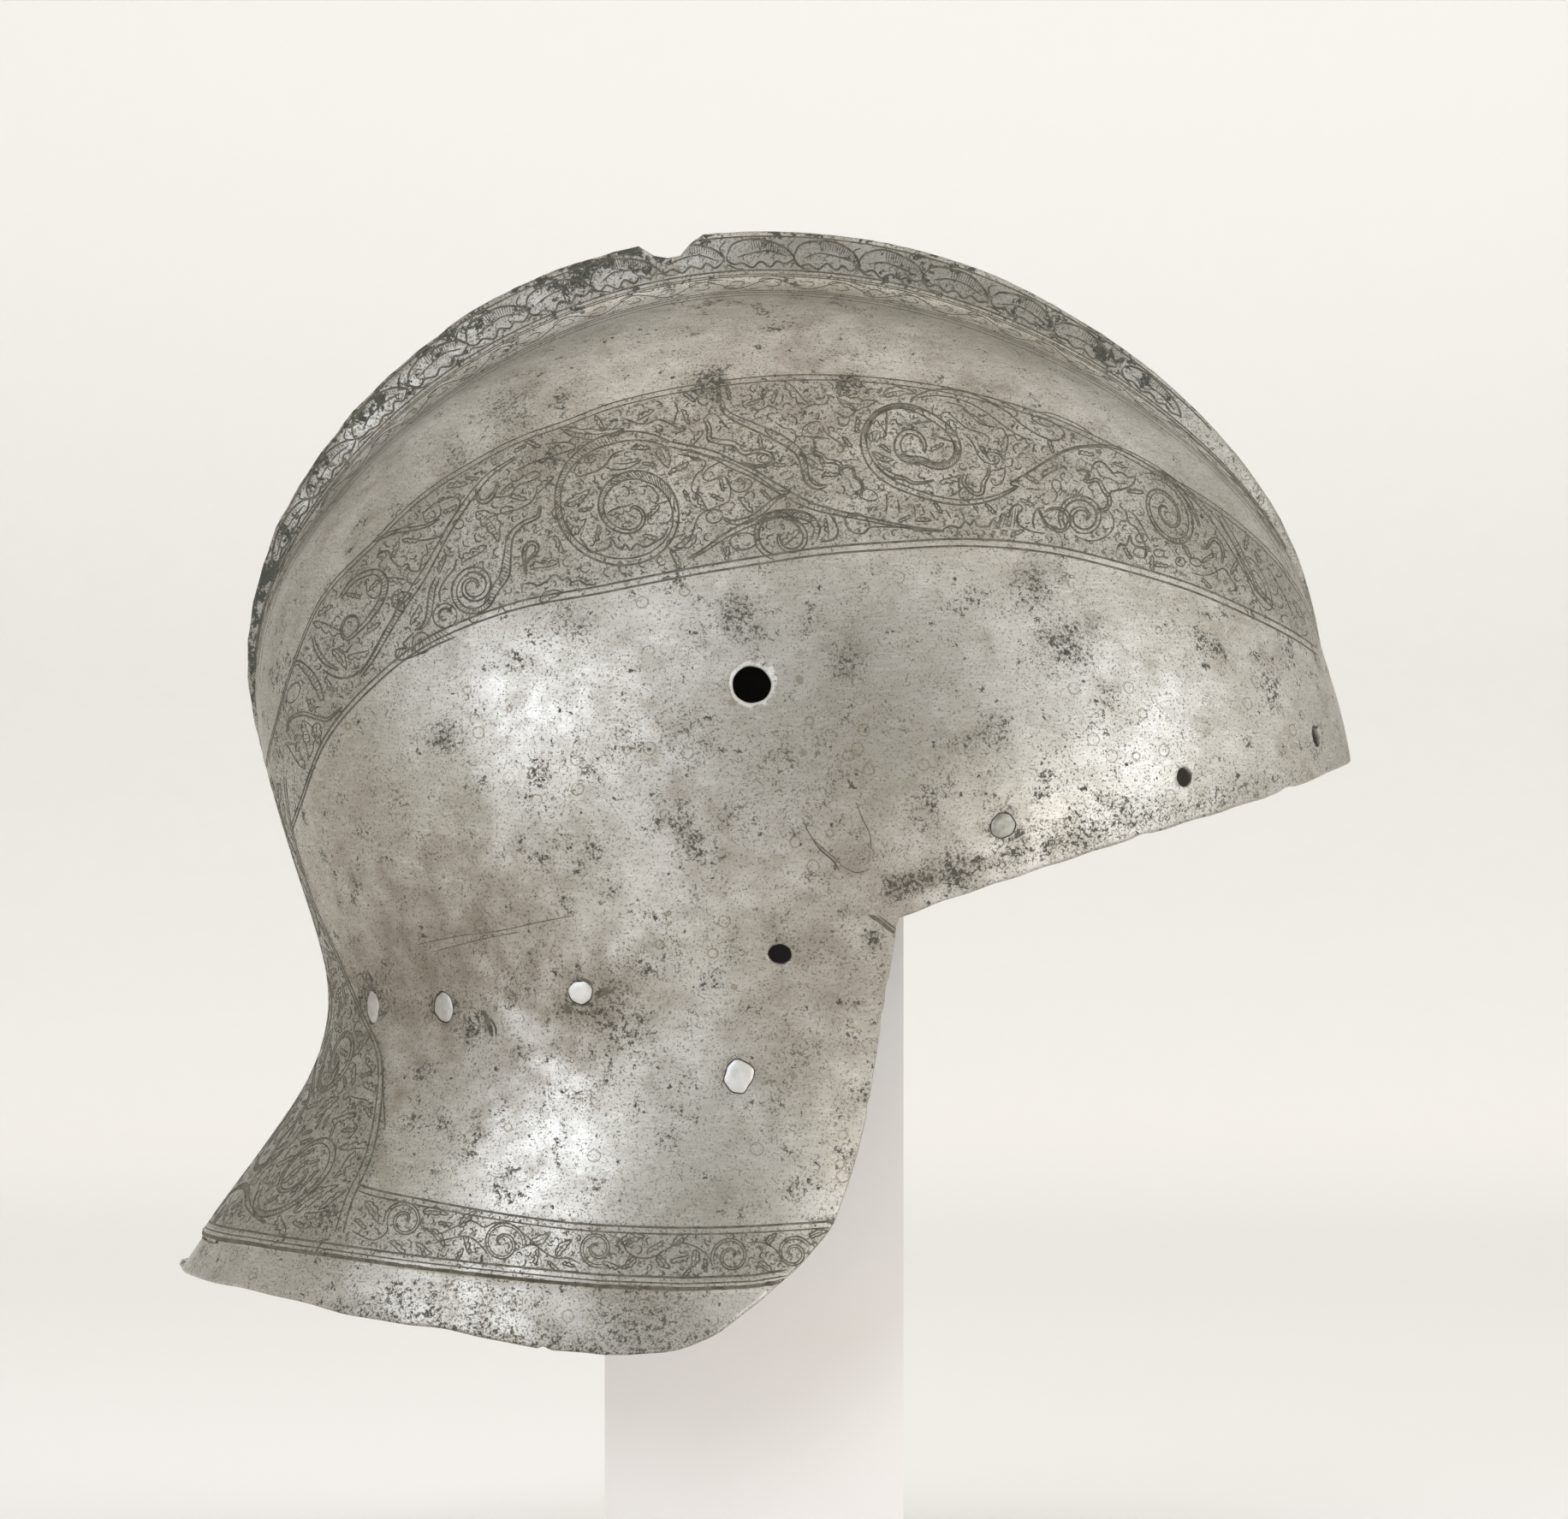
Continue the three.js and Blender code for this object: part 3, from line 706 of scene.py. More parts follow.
OPEN_HOLES = [  # x, z, radius, chamfer, tall
    (-0.4, 217.7, 4.5, 0.55, 1.0), (6.2, 154.4, 2.55, 0.25, 0.86), (101.9, 195.9, 2.2, 0.2, 1.1),
    (135.4, 205.7, 2.4, 0.2, 1.35)]
FILLED = {  # x, z, radius, tall, square
    "brow_rivet": (58.5, 184.5, 2.7, 1.02, 0.0), "cheek_rivet": (-3.4, 125.7, 3.2, 1.1, 0.35),
    "neck_rivet_1": (-40.7, 145.2, 2.6, 1.05, 0.0), "neck_rivet_2": (-73.6, 141.2, 2.9, 1.22, 0.1),
    "neck_rivet_3": (-91.4, 140.7, 2.9, 1.28, 0.2)}
GROOVE = 0.28  # between a filling and its hole
# height over the plate and share of the outline, from the burr inside to the worn face outside
FILLING = [(-PLATE - 1.7, 0.55), (-PLATE - 1.5, 1.2), (-PLATE - 0.75, 1.34), (-PLATE - 0.35, 1.3),
           (-PLATE - 0.3, 1.0), (-0.34, 1.0), (-0.2, 1.07), (-0.14, 1.06), (-0.05, 0.99), (0.06, 0.9),
           (0.1, 0.5)]

cut_points, cut_faces, plugs = [], [], []


def cut_away(where, rings, shape):
    """Adds a solid to what is cut out of the bowl."""
    points, fs = ring_solid(where, rings, shape)
    base = len(cut_points)
    cut_points.extend(points)
    cut_faces.extend([i + base for i in f] for f in fs)


for side in (RIGHT, LEFT):
    for k, (x, z, r, chamfer, tall) in enumerate(OPEN_HOLES):
        shape = outline_of(r, 40, 10 + k * 3 + side, 0.02, tall)
        rings = [(-6, 1), (-chamfer, 1), (0.02, 1 + chamfer / r), (3, 1 + (chamfer + 2.4) / r)]
        cut_away(seat(x, z, side), rings, shape)
    for k, (name, (x, z, r, tall, square)) in enumerate(FILLED.items()):
        shape = outline_of(r + GROOVE, 36, 50 + k * 5 + side, 0.05, tall, square)
        cut_away(seat(x, z, side), [(-6, 1), (-0.4, 1), (0.1, 1.07), (3, 1.1)], shape)
        plugs.append((name, side, seat(x, z, side), [(a, q - GROOVE) for a, q in shape]))

cutter = mesh_object("hole_cutter", cut_points, cut_faces, None, 1.0)
cut = bowl.modifiers.new("holes", "BOOLEAN")
cut.operation = "DIFFERENCE"
cut.object = cutter
cut.solver = "MANIFOLD"
bpy.context.view_layer.update()
cut_mesh = bpy.data.meshes.new_from_object(bowl.evaluated_get(bpy.context.evaluated_depsgraph_get()))
bowl.modifiers.clear()
bowl.data = cut_mesh
bowl.data.name = "etched_bowl"
bpy.data.objects.remove(cutter)
if not bowl.data.materials:
    bowl.data.materials.append(STEEL)
shade(bowl, 50)

# ------------------------------------------------------------------ masks for the bowl's finish

def vertex_values(key):
    """A row of three numbers for each vertex of the bowl."""
    values = np.zeros(len(bowl.data.vertices) * 3)
    bowl.data.vertices.foreach_get(key, values)
    return values.reshape(-1, 3)


X, Y, Z = (vertex_values("co") / MM).T

BAND_LOW = [(-112, 184), (-108.8, 191), (-102.3, 205.6), (-91.6, 217.8), (-77, 228.9), (-56.6, 236.9),
            (-36.3, 240.8), (-16, 244.8), (0, 247.5), (16, 249.9), (32, 251.2), (50.5, 252.1),
            (68.8, 250.8), (85.3, 247.3), (104, 242), (119, 236), (130, 231), (137, 227)]
BAND_HIGH = [(-120, 196), (-115.5, 209), (-112, 220), (-106, 235), (-101, 242.6), (-95.3, 248.3),
             (-91, 252.3), (-87, 256.6), (-81.5, 261.8), (-76, 266), (-70.5, 269.5), (-57.5, 276.5),
             (-45, 281), (-33, 285.5), (-16.6, 289.2), (4, 291.8), (24.4, 291.8), (45, 289.4),
             (65.6, 284.2), (82, 277.7), (96.6, 270), (111.4, 261.5), (124.3, 251.4), (133, 241), (138, 231)]
LOW_BAND_TOP = [(-90, 97.5), (-67, 94.6), (-36, 91.6), (-4, 90.2), (20, 89)]
# height and half width of the nape's panel
PANEL_HALF = [(76, 78), (96, 71), (106, 68), (118, 62), (130, 55), (140, 45), (152, 36), (166, 28),
              (180, 30), (205, 40)]
COMB_FOOT = 185

over_step = smooth(-0.5, 0.5, Z - follow(STEP_LINE, X) - 2)
in_band = smooth(-0.6, 0.6, Z - follow(BAND_LOW, X)) * smooth(0.6, -0.6, Z - follow(BAND_HIGH, X))
in_low_band = ((X > -95) & (X < 24)) * over_step * smooth(0.5, -0.5, Z - follow(LOW_BAND_TOP, X))
in_panel = (X < -60) * smooth(0.8, -0.8, np.abs(Y) - follow(PANEL_HALF, Z)) * over_step * smooth(203, 196, Z)

# the comb: how far a vertex stands over the plain crest, and where round it
angle_at = comb_share(X, Z)[1]
starts = np.array([c[0] for c in make_columns()])
start_angle = comb_share(starts[:, 0], starts[:, 2])[1]
order = np.argsort(start_angle)
crest_radius = np.hypot(starts[:, 0] - COMB_CENTRE[0], starts[:, 2] - COMB_CENTRE[1])[order]
plain_radius = np.interp(angle_at, start_angle[order], crest_radius)
rise = np.hypot(X - COMB_CENTRE[0], Z - COMB_CENTRE[1]) - plain_radius
on_crown = (angle_at > 12) * (angle_at < 184) * (Z > COMB_FOOT)
on_comb, fillet_zone = (smooth(*reach, np.abs(Y)) * on_crown for reach in ((6.4, 4.4), (17, 9)))
back_part = smooth(88, 108, angle_at)
blotch = value_noise(X / 7, Y / 7, Z / 7, 21)
corroded = on_comb * (0.22 + 0.13 * back_part + (0.14 + 0.16 * back_part) * smooth(7, 14, rise)
                      + 0.42 * blotch)
corroded = corroded + 0.22 * on_comb * smooth(156, 163, angle_at)
etched = np.maximum.reduce([in_band, in_low_band, in_panel, fillet_zone * 0.05, on_comb * 0.7])

STAINS = [  # x, z, half size, strength
    (-4, 233.5, 7, 0.75), (21, 223.5, 7, 0.6), (74, 227.5, 9, 0.7), (66, 239.5, 8, 0.6),
    (56.6, 206.5, 5, 0.55), (-73, 205.5, 5, 0.8), (48, 173.5, 7, 0.85), (-10, 289.5, 6, 0.9),
    (23, 290, 5, 0.95), (-36, 141.5, 9, 0.6), (62, 181, 6, 0.6), (76, 183, 7, 0.6), (88, 187, 6, 0.5),
    (-92, 142, 7, 0.8), (-66, 137, 6, 0.7), (-40.7, 143, 5, 0.8), (-3.4, 124.5, 6, 0.4),
    (28, 158, 4, 0.9), (-30, 66, 12, 0.6), (-20, 70, 9, 0.5), (-48, 66, 5, 0.5), (-15, 205, 9, 0.35),
    (-43, 232, 7, 0.5), (-58, 283, 9, 0.5), (-72, 273, 6, 0.5), (8, 262, 10, 0.35), (54, 283, 8, 0.35),
    (26, 122, 4, 0.6), (24, 105, 4, 0.5), (-100, 88, 14, 0.35), (-60, 74, 10, 0.4)]
TARNISH = [  # broad brown tone with no pits of its own
    (-78, 150, 30, 0.85), (-58, 160, 26, 0.68), (-42, 141, 17, 0.9), (-66, 130, 20, 0.6),
    (-28, 142, 16, 0.55), (6, 134, 18, 0.55), (14, 150, 22, 0.62), (24, 176, 22, 0.62),
    (40, 182, 18, 0.4), (24, 202, 22, 0.45), (-20, 200, 26, 0.32), (-3, 206, 18, 0.5),
    (-3, 184, 28, 0.42), (-44, 178, 20, 0.32), (-92, 190, 16, 0.3), (10, 286, 34, 0.4),
    (48, 280, 30, 0.3), (-40, 274, 26, 0.25), (-2, 256, 12, 0.2), (60, 262, 22, 0.2), (-26, 66, 14, 0.3)]
# round the fillings, along the neck, along the brow's edge and along the nape's edge
STAINS += [(x, z, r + 1.8, 0.8) for x, z, r, _, _ in FILLED.values()]
STAINS += [(x, 150 + (x + 36) * 0.2, 6, 0.3) for x in range(-84, 20, 13)]
STAINS += [(x, 168.6 + (x - 28) * 0.272, 3.6, 0.95 - (x - 28) * 0.006) for x in range(33, 132, 4)]
STAINS += [(x, 61 + abs(x + 30) * 0.14, 5, 0.6) for x in range(-96, 8, 5)]
rng = random.Random(5)


def blotches(places, ragged):
    """The strongest of a list of soft round blotches at each point, moved about on the left side."""
    total = np.zeros(len(X))
    for side in (RIGHT, LEFT):
        for x, z, size, strength in places:
            if side == LEFT:
                x, z = x + rng.uniform(-14, 14), z + rng.uniform(-9, 9)
                strength *= rng.uniform(0.3, 1)
            away = np.hypot(X - x, Z - z) * (1 + ragged * value_noise(X / 4, Y / 4, Z / 4, 31))
            total = np.maximum(total, (Y * side > 0) * strength * smooth(size * 1.3, size * 0.2, away))
    return total


stained, tarnished = blotches(STAINS, 0.35), blotches(TARNISH, 0.5)
pivot_x, pivot_z, pivot_radius, pivot_chamfer, _ = OPEN_HOLES[0]
polished = (np.hypot(X - pivot_x, Z - pivot_z) < (pivot_radius + pivot_chamfer) * 1.05) * (np.abs(Y) > 60)
radial = np.column_stack([X - 5, Y, np.where(Z > 200, Z - 200, 0)])
facing_in = (vertex_values("normal") * radial).sum(1) < 0
for name, values in (("etched", etched), ("corroded", np.clip(corroded, 0, 1)), ("stained", stained),
                     ("inside", facing_in.astype(float)), ("tarnished", tarnished),
                     ("polished", polished & ~facing_in)):
    layer = bowl.data.attributes.new(name, "FLOAT", "POINT")
    layer.data.foreach_set("value", np.asarray(values, np.float32))

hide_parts("helmet_bowl")
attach(bowl, "root")
SKIN = tree_of(bowl)

# ------------------------------------------------------------------ filled rivet holes

for name, side, where, shape in plugs:
    side_name = "right" if side == RIGHT else "left"
    full = f"{name}_{side_name}"
    points, fs = ring_solid(where, FILLING, shape)
    plug = mesh_object(f"{full}_filling", points, fs, RIVET, 1.0)
    shade(plug, 40)
    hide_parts(full)
    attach(plug, "root")

# ------------------------------------------------------------------ etched lines

def points_of(text):
    """Points in mm, written one after another."""
    return np.array(text.split(), float).reshape(-1, 2)


def length_of(curve):
    return float(np.linalg.norm(np.diff(curve, axis=0), axis=1).sum())


class Pen:
    """The lines of an etched design in a flat view, in mm, each with its width."""

    BOLD, PLAIN, FINE = 0.52, 0.38, 0.24
    STEP = 0.55

    def __init__(self):
        self.lines = []

    def keep(self, curve, width):
        self.lines.append((curve, width))
        return curve

    def line(self, points, width=PLAIN):
        points = points_of(points) if isinstance(points, str) else np.asarray(points, float)
        return self.keep(catmull(points, self.STEP), width)

    def draw(self, text, width=PLAIN):
        """One line for each stretch of text between commas."""
        for points in text.split(","):
            self.line(points, width)

    def hatch(self, a, b, gap=0.8, part=(0, 1)):
        """Fine lines that run from one curve to another."""
        read_a, read_b = polyline_reader(a), polyline_reader(b)
        count = max(2, int(length_of(a) * (part[1] - part[0]) / gap))
        for s in np.linspace(*part, count):
            self.keep(catmull([read_a(s), read_b(s)], self.STEP), self.FINE)

    def patch(self, low, high, gap=0.8):
        """Hatching between two straight lines."""
        self.hatch(catmull(low, 0.5), catmull(high, 0.5), gap)

    def vine(self, points, wide, hatched=(), width=BOLD):
        """A stem: one line, a second one to its left, and hatching on parts of its length."""
        outer = self.line(points, width)
        shift = np.interp(np.linspace(0, 1, len(outer)), np.linspace(0, 1, len(wide)), wide)
        along = np.gradient(outer, axis=0)
        along /= np.linalg.norm(along, axis=1, keepdims=True)
        inner = outer + np.column_stack([-along[:, 1], along[:, 0]]) * shift[:, None]
        self.keep(inner, width * 0.8)
        for part in hatched:
            self.hatch(outer, inner, part=part)
        return outer, inner

    def coil(self, x, z, start, step, radii, wide, hatched=(), width=BOLD):
        """A scroll round a centre, with its radii at equal steps of angle in degrees."""
        at = np.arange(0, len(radii) - 0.99, 0.125)
        angle = np.radians(start + step * at)
        radius = spline(np.arange(len(radii)), radii)(at)
        points = np.column_stack([x + radius * np.cos(angle), z + radius * np.sin(angle)])
        return self.vine(points, np.array(wide) * np.sign(step), hatched, width)

    def leaf(self, x0, z0, x1, z1, wide, bend=0.0, lobes=4):
        """A lobed leaf from its stalk to its tip, with a midrib and one hatched half."""
        start, chord = np.array([x0, z0]), np.array([x1 - x0, z1 - z0])
        left = np.array([-chord[1], chord[0]]) / np.linalg.norm(chord)
        t = np.linspace(0, 1, 8 * lobes + 1)
        rib = start + chord * t[:, None] + left * (bend * np.sin(np.pi * t))[:, None]
        half = wide / 2 * np.sin(np.pi * t ** 0.75) * (0.68 + 0.32 * np.abs(np.sin(np.pi * lobes * t)))
        sides = [rib + left * (s * half)[:, None] for s in (1, -1)]
        for side in sides:
            self.keep(side, self.PLAIN)
        self.keep(rib[:len(rib) * 3 // 4], self.FINE)
        self.hatch(rib, sides[1], 0.7, (0.12, 0.85))

    def bead(self, x, z, radius, tall=1.0, tilt=0.0, eye=False):
        """A closed oval, with a small hook inside if it has an eye."""
        a = np.linspace(0, 2 * math.pi, 5 + int(radius * 9))
        u, v = radius * np.cos(a), radius * tall * np.sin(a)
        c, s = math.cos(math.radians(tilt)), math.sin(math.radians(tilt))
        self.keep(np.column_stack([x + u * c - v * s, z + u * s + v * c]), self.PLAIN)
        if eye:
            self.hook(x, z, radius * 0.45, tilt)

    def hook(self, x, z, radius, facing, turn=210, width=PLAIN):
        """An open ring whose gap faces an angle in degrees."""
        a = np.radians(facing + (360 - turn) / 2 + np.linspace(0, turn, 4 + int(radius * 7)))
        r = radius * np.linspace(1, 0.72, len(a))
        self.keep(np.column_stack([x + r * np.cos(a), z + r * np.sin(a)]), width)

    def frond(self, x, z, size, turn):
        """A bent leaf with a smooth back, a scalloped belly and hatching between them."""
        t = np.linspace(0, 1, 22)
        along = np.array([math.cos(math.radians(turn)), math.sin(math.radians(turn))])
        out = np.array([-along[1], along[0]])
        back = np.array([x, z]) + along * ((t - 0.5) * 2.7 * size)[:, None]
        back = back + out * (size * 0.45 * np.cos(np.pi * (t - 0.1)))[:, None]
        depth = size * (0.45 + 0.38 * np.abs(np.sin(3.5 * np.pi * t))) * np.sin(np.pi * t) ** 0.5
        belly = back - out * depth[:, None]
        self.keep(back, self.PLAIN)
        self.keep(belly, self.PLAIN)
        self.hatch(back, back * 0.5 + belly * 0.5, 0.8, (0.12, 0.5))

    def ticks(self, places, length, angle):
        """Short plain strokes at an angle in degrees."""
        along = np.array([math.cos(math.radians(angle)), math.sin(math.radians(angle))]) * length / 2
        for place in points_of(places):
            self.line([place - along, place + along * 0.2 + [0.15, 0], place + along], self.BOLD)

    def fill(self, inside, box, seed, tries, largest=2.0):
        """Small curls, hooks and leaflets where a design still leaves round spaces."""
        rng = random.Random(seed)
        taken = {}

        def take(curve):
            for (px, pz), (ax, az) in zip(curve, np.gradient(curve, axis=0)):
                spot = (px, pz, math.degrees(math.atan2(az, ax)))
                taken.setdefault((int(px // 1), int(pz // 1)), []).append(spot)

        def nearest(x, z):
            best = (largest + 0.8, 0.0)
            for i in range(int((x - best[0]) // 1), int((x + best[0]) // 1) + 1):
                for j in range(int((z - largest - 0.8) // 1), int((z + largest + 0.8) // 1) + 1):
                    for px, pz, flow in taken.get((i, j), ()):
                        best = min(best, (math.hypot(px - x, pz - z), flow))
            return best

        for curve, _ in self.lines:
            take(curve)
        for _ in range(tries):
            x, z = rng.uniform(*box[0]), rng.uniform(*box[1])
            kind, swing = rng.random(), rng.choice((0, 180)) + rng.uniform(-40, 40)
            if not inside(x, z):
                continue
            gap, flow = nearest(x, z)
            size = gap - 0.5
            if size < 0.7:
                continue
            before = len(self.lines)
            if size > 1.15 and kind < 0.8:
                self.frond(x, z, size, flow + swing)
            else:
                self.hook(x, z, size * 0.9, flow + swing, rng.uniform(110, 210))
            for curve, _ in self.lines[before:]:
                take(curve)


def from_side(side, wander=0.0):
    """Reads the bowl under a point of the side view."""
    def cast(p):
        x = p[0] + wander * math.sin(p[1] * 0.21 + 1.3) + wander * 0.6 * math.sin(p[0] * 0.17)
        z = p[1] + wander * 0.7 * math.sin(p[0] * 0.13 + 0.4)
        hit, normal, _, _ = SKIN.ray_cast(Vector((x, side * 300, z)) * MM, Vector((0, -side, 0)))
        return hit, normal
    return cast


def from_back(p):
    hit, normal, _, _ = SKIN.ray_cast(Vector((-300, p[0], p[1])) * MM, Vector((1, 0, 0)))
    return hit, normal


def on_plate(side):
    """Finds the bowl by its half width, which also works where the bowl turns away from the side view."""
    def cast(p):
        aim = Vector((p[0], side * float(half_width(p[0], p[1])), p[1])) * MM
        hit, normal, _, _ = SKIN.find_nearest(aim)
        return hit, normal
    return cast


# a strip's height over the plate and depth in it, and the longest gap that it bridges
PROUD, SUNK, LONGEST_STEP = 0.045, 0.2, 3.0


def etch(name, lines, cast):
    """Turns lines into thin closed strips that follow the bowl."""
    verts, faces = [], []

    def strip(run, width):
        if len(run) < 2:
            return
        place = np.array([r[0] for r in run]) / MM
        up = np.array([r[1] for r in run])
        up[1:-1] = (up[:-2] + up[1:-1] + up[2:]) / 3
        along = np.gradient(place, axis=0)
        across = np.cross(up, along)
        across /= np.maximum(np.linalg.norm(across, axis=1, keepdims=True), 1e-9)
        n = len(run)
        ends = np.minimum(np.arange(n), np.arange(n)[::-1])
        half = (width / 2 * np.clip(0.45 + 0.28 * ends, 0, 1))[:, None]
        top = place + up * PROUD
        base = len(verts)
        for row in zip(top + across * half, top - across * half, place - up * SUNK):
            verts.extend(row)
        for i in range(n - 1):
            a, b, c = base + 3 * i, base + 3 * i + 1, base + 3 * i + 2
            faces.extend([(a, b, b + 3, a + 3), (b, c, c + 3, b + 3), (c, a, a + 3, c + 3)])
        last = base + 3 * (n - 1)
        faces.extend([(base, base + 2, base + 1), (last, last + 1, last + 2)])

    for curve, width in lines:
        run = []
        for p in curve:
            hit, normal = cast(p)
            if hit is None or (run and (hit - run[-1][0]).length > LONGEST_STEP * MM):
                strip(run, width)
                run = []
            if hit is not None:
                run.append((hit, normal))
        strip(run, width)
    piece = mesh_object(name, verts, faces, INK)
    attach(piece, "root")
    return piece


def largest_scroll(pen):
    """The stem that runs up into the largest scroll, and the scroll."""
    pen.coil(-30, 258, 60, 90, [20.3, 18.6, 12.9, 12.4, 11.3, 7.6, 4.7, 4.8, 2.2],
             [1.5, 2.6, 1.4, 1.3, 1.6, 1.2, 2.3, 1.2, 0.6], [(0.1, 0.36), (0.66, 0.86)])
    pen.vine("45 254 36 255.2 25 257.6 15.5 260 10.5 262.3 4.3 266 0 268.7 -5 271 -10 273.3 -20 275.6",
             [0.3, 0.8, 1.6, 2.0, 1.2], [(0.3, 0.45)])
    pen.line("-42.6 268.2 -42.3 269.6 -39.9 272.3 -36.3 272.6")
    pen.bead(-38.9, 271.4, 1.4, 0.65, 12, True)
    pen.bead(-46.2, 258.4, 1.5)
    pen.line("-30.9 273.5 -33.3 272.6 -34.8 270.6 -36.3 269 -39.3 267.8 -41.6 267.2 -42.6 268.2", pen.BOLD)
    pen.line("-35.7 269.6 -33.3 268.8 -30.3 269 -27.9 270.1 -26.6 271.2 -28.5 270.6 -30.9 270.2 -33 270.4")
    pen.leaf(-22.6, 274.4, -20.2, 269, 3.2, 0.3, 2)
    pen.draw("""
        -18 273 -15.3 273.6 -11.7 272.3 -7.5 271.2 -3.3 269.3 0.3 267.4 2.7 265.8 5.4 263.8 8.4 263.3,
        -18.3 272.6 -13.2 271.4 -11.4 270.6 -11.8 269 -13.5 267.5 -14.4 265.6 -14.7 263.8 -13.6 263.1
        -13 263.9 -13.2 265""")
    pen.leaf(-44.8, 260.2, -38.6, 264.2, 2.6, -0.4, 3)
    pen.leaf(-44.4, 257.2, -39.4, 257, 4.2, -2.2, 4)
    pen.line("-41.2 252.5 -39.9 251 -38.6 249 -36.6 249.2 -34.2 250 -33.4 252 -32.4 250.4 -31 249.6"
             " -30.2 250.8 -29 249.3 -27.6 250.8 -25.6 250.1 -23.7 251 -21.3 252.5 -20 255", pen.BOLD)
    pen.draw("""
        -27 264.6 -24.7 264.8 -23.2 263.4 -22.4 261.8 -23.2 260.4 -21.2 260.8 -19.6 261.4,
        -18.8 261.8 -18.9 258.6 -19.8 256.4 -22 255.2""")


def leaves_between_scrolls(pen):
    """The leaves between the largest scroll and the next."""
    pen.draw("""
        -6.6 271 -9.4 269.8 -11.2 268.5 -12 266.8 -10.6 265.9 -8.8 266.6 -7 267 -5.8 265.6 -5.4 263.2 -6 261
        -8 260 -10.4 259 -12.6 257.8 -13.8 255.4 -14.6 252.6 -16.2 250.4 -18.4 249.2 -20.2 250 -20.4 251.2
        -18.6 252.4 -16 253.2,
        -6.8 267 -5.2 264 -3.2 263.2 -1 264.2 -0.6 266 -2.4 266.6""")
    pen.bead(-9.2, 257.4, 2.0, 0.8, 20)
    pen.leaf(-13.4, 252.8, -18.6, 250, 2.6, 0.5, 3)
    pen.vine("8.5 263.2 5 261.8 2 259.4 -0.5 257.6 -2.6 256.8 -5 256.4 -7.6 257.4", [0.2, 1.2, 1.4, 0.3],
             [(0, 0.5)])
    pen.vine("-15.6 247.4 -12 249.4 -8 252.4 -3.8 255 0.3 257 4.3 258.4 8.4 259 12 258.4 14.6 256.8"
             " 15.7 254.4 14.8 251.4", [-0.4, -1, -1.5, -1.8, -1.2], [(0.5, 0.95)])
    pen.coil(7.6, 252.8, 245, -90, [5.2, 6.2, 3.6, 4.2, 2.2, 1.0], [-1.1, -1.1, -1.0, -0.5], [(0.2, 0.6)])
    pen.bead(11.4, 257, 2.3, 0.6, -12)
    pen.line("18 257.8 19.6 255.4 19.9 253.3 18.6 251.8 15.6 251.2", pen.BOLD)
    pen.bead(24.5, 255.7, 3.0, 0.78, -30)
    pen.line("25.8 253.4 27.8 254.8 31 254.9 36 254.7 39 254.1 42.6 253.9")
    pen.bead(-2.4, 251.4, 3.2, 0.62, 5)


def leaves_over_scroll(pen):
    """Leaves over the largest scroll."""
    pen.leaf(-46.5, 279.2, -30.8, 279, 2.8, -1.6, 3)
    pen.line("-31 281.4 -28 280.2 -25.4 280 -23 281 -20.4 280.2 -18.2 279 -16.2 278.6 -17.8 277.8"
             " -19.6 278", pen.BOLD)
    pen.draw("""
        -19 285.6 -18.2 283.4 -18.8 281.2 -19 279.6,
        -57 268.8 -51 271.4 -45 273.2 -42.4 274.4 -44.6 275.6 -50 275.2""")
    pen.vine("-12 281 -11 278.6 -11 276 -8.4 275 -4.8 274.4 -3.6 273 -2 272.2 1 272.8 3.4 272.2 4.4 271"
             " 3 270 0.4 269.8 -2.4 270.4", [0.8, 1.2, 0.8, 0.3], [(0, 0.25)])
    pen.line("-12 281 -10.6 282.4 -8.8 282 -7.2 280 -6 278.8 -5 279.4")
    pen.bead(2.2, 271.4, 1.5, 0.7, -12, True)
    pen.vine("-8 285.4 -7.4 282.8 -4.6 280.6 0.2 278.2 5 275.8 8.6 273.6 10.6 271.4 11.6 267.6 12.6 265.2"
             " 15 263.9 17.4 264.5", [0.8, 1.6, 1.9, 1.6, 0.6], [(0.55, 0.85)])
    pen.draw("""
        12 268.6 13.4 266.8 15.2 265.4 17.2 264.8,
        -1 283.2 1.6 283.4 3.6 284.2 5.8 283.4,
        5 280.4 7 278.9 9.6 278.2 9.9 275.6 8.2 275.2,
        2.6 279.4 3 277.8 4.4 276.4""")


def fish_tailed_leaf(pen):
    """The fish-tailed leaf and its neighbours."""
    pen.line("16.4 279.6 16.6 278.4 18.2 276.8 20.4 275.2 21.4 273.6 20.4 272.8 19.8 273.8", pen.BOLD)
    pen.draw("""
        11.4 277.2 12 279.2 14.4 280.4 16 280.2,
        11.2 277 13.4 276.6 16 276.6 18.2 276""")
    pen.vine("13.6 274.8 14.2 272.8 16 271.8 17 270.4 19 270.2 20.2 269.6 20.4 268 21.4 269 23.2 269"
             " 23.8 266.8 25.2 265.8 25.6 263.8 24.8 262.4", [0.6, 0.9, 0.5, 0.4])
    pen.bead(27, 262.6, 2.4, 0.55, -18)
    pen.leaf(12, 272, 16.6, 268.4, 3.2, 0.4, 3)
    pen.line("21.8 270.6 23.4 271.2 25 270.8")
    pen.line("21 264.8 21.6 263.8 21 262.8", pen.BOLD)
    pen.draw("""
        19.2 283 21.8 281.4 22.8 281.6 22.2 279.6 20.6 279.6 20 281.2,
        20.2 285 22.4 284.8 24.2 283.4 23.4 282 21 281.4""")
    pen.leaf(19.8, 286.4, 29.4, 285.6, 3.4, -1.2, 3)
    pen.leaf(30.6, 287, 38.6, 287.6, 2.6, 0.8, 3)
    pen.line("11 283.2 13.8 284.6 17 284.8 18.2 286.6")
    pen.ticks("17.6 286 6.8 286.4", 2.2, 84)
    pen.ticks("7.2 268 8.6 266.6", 2.4, 24)


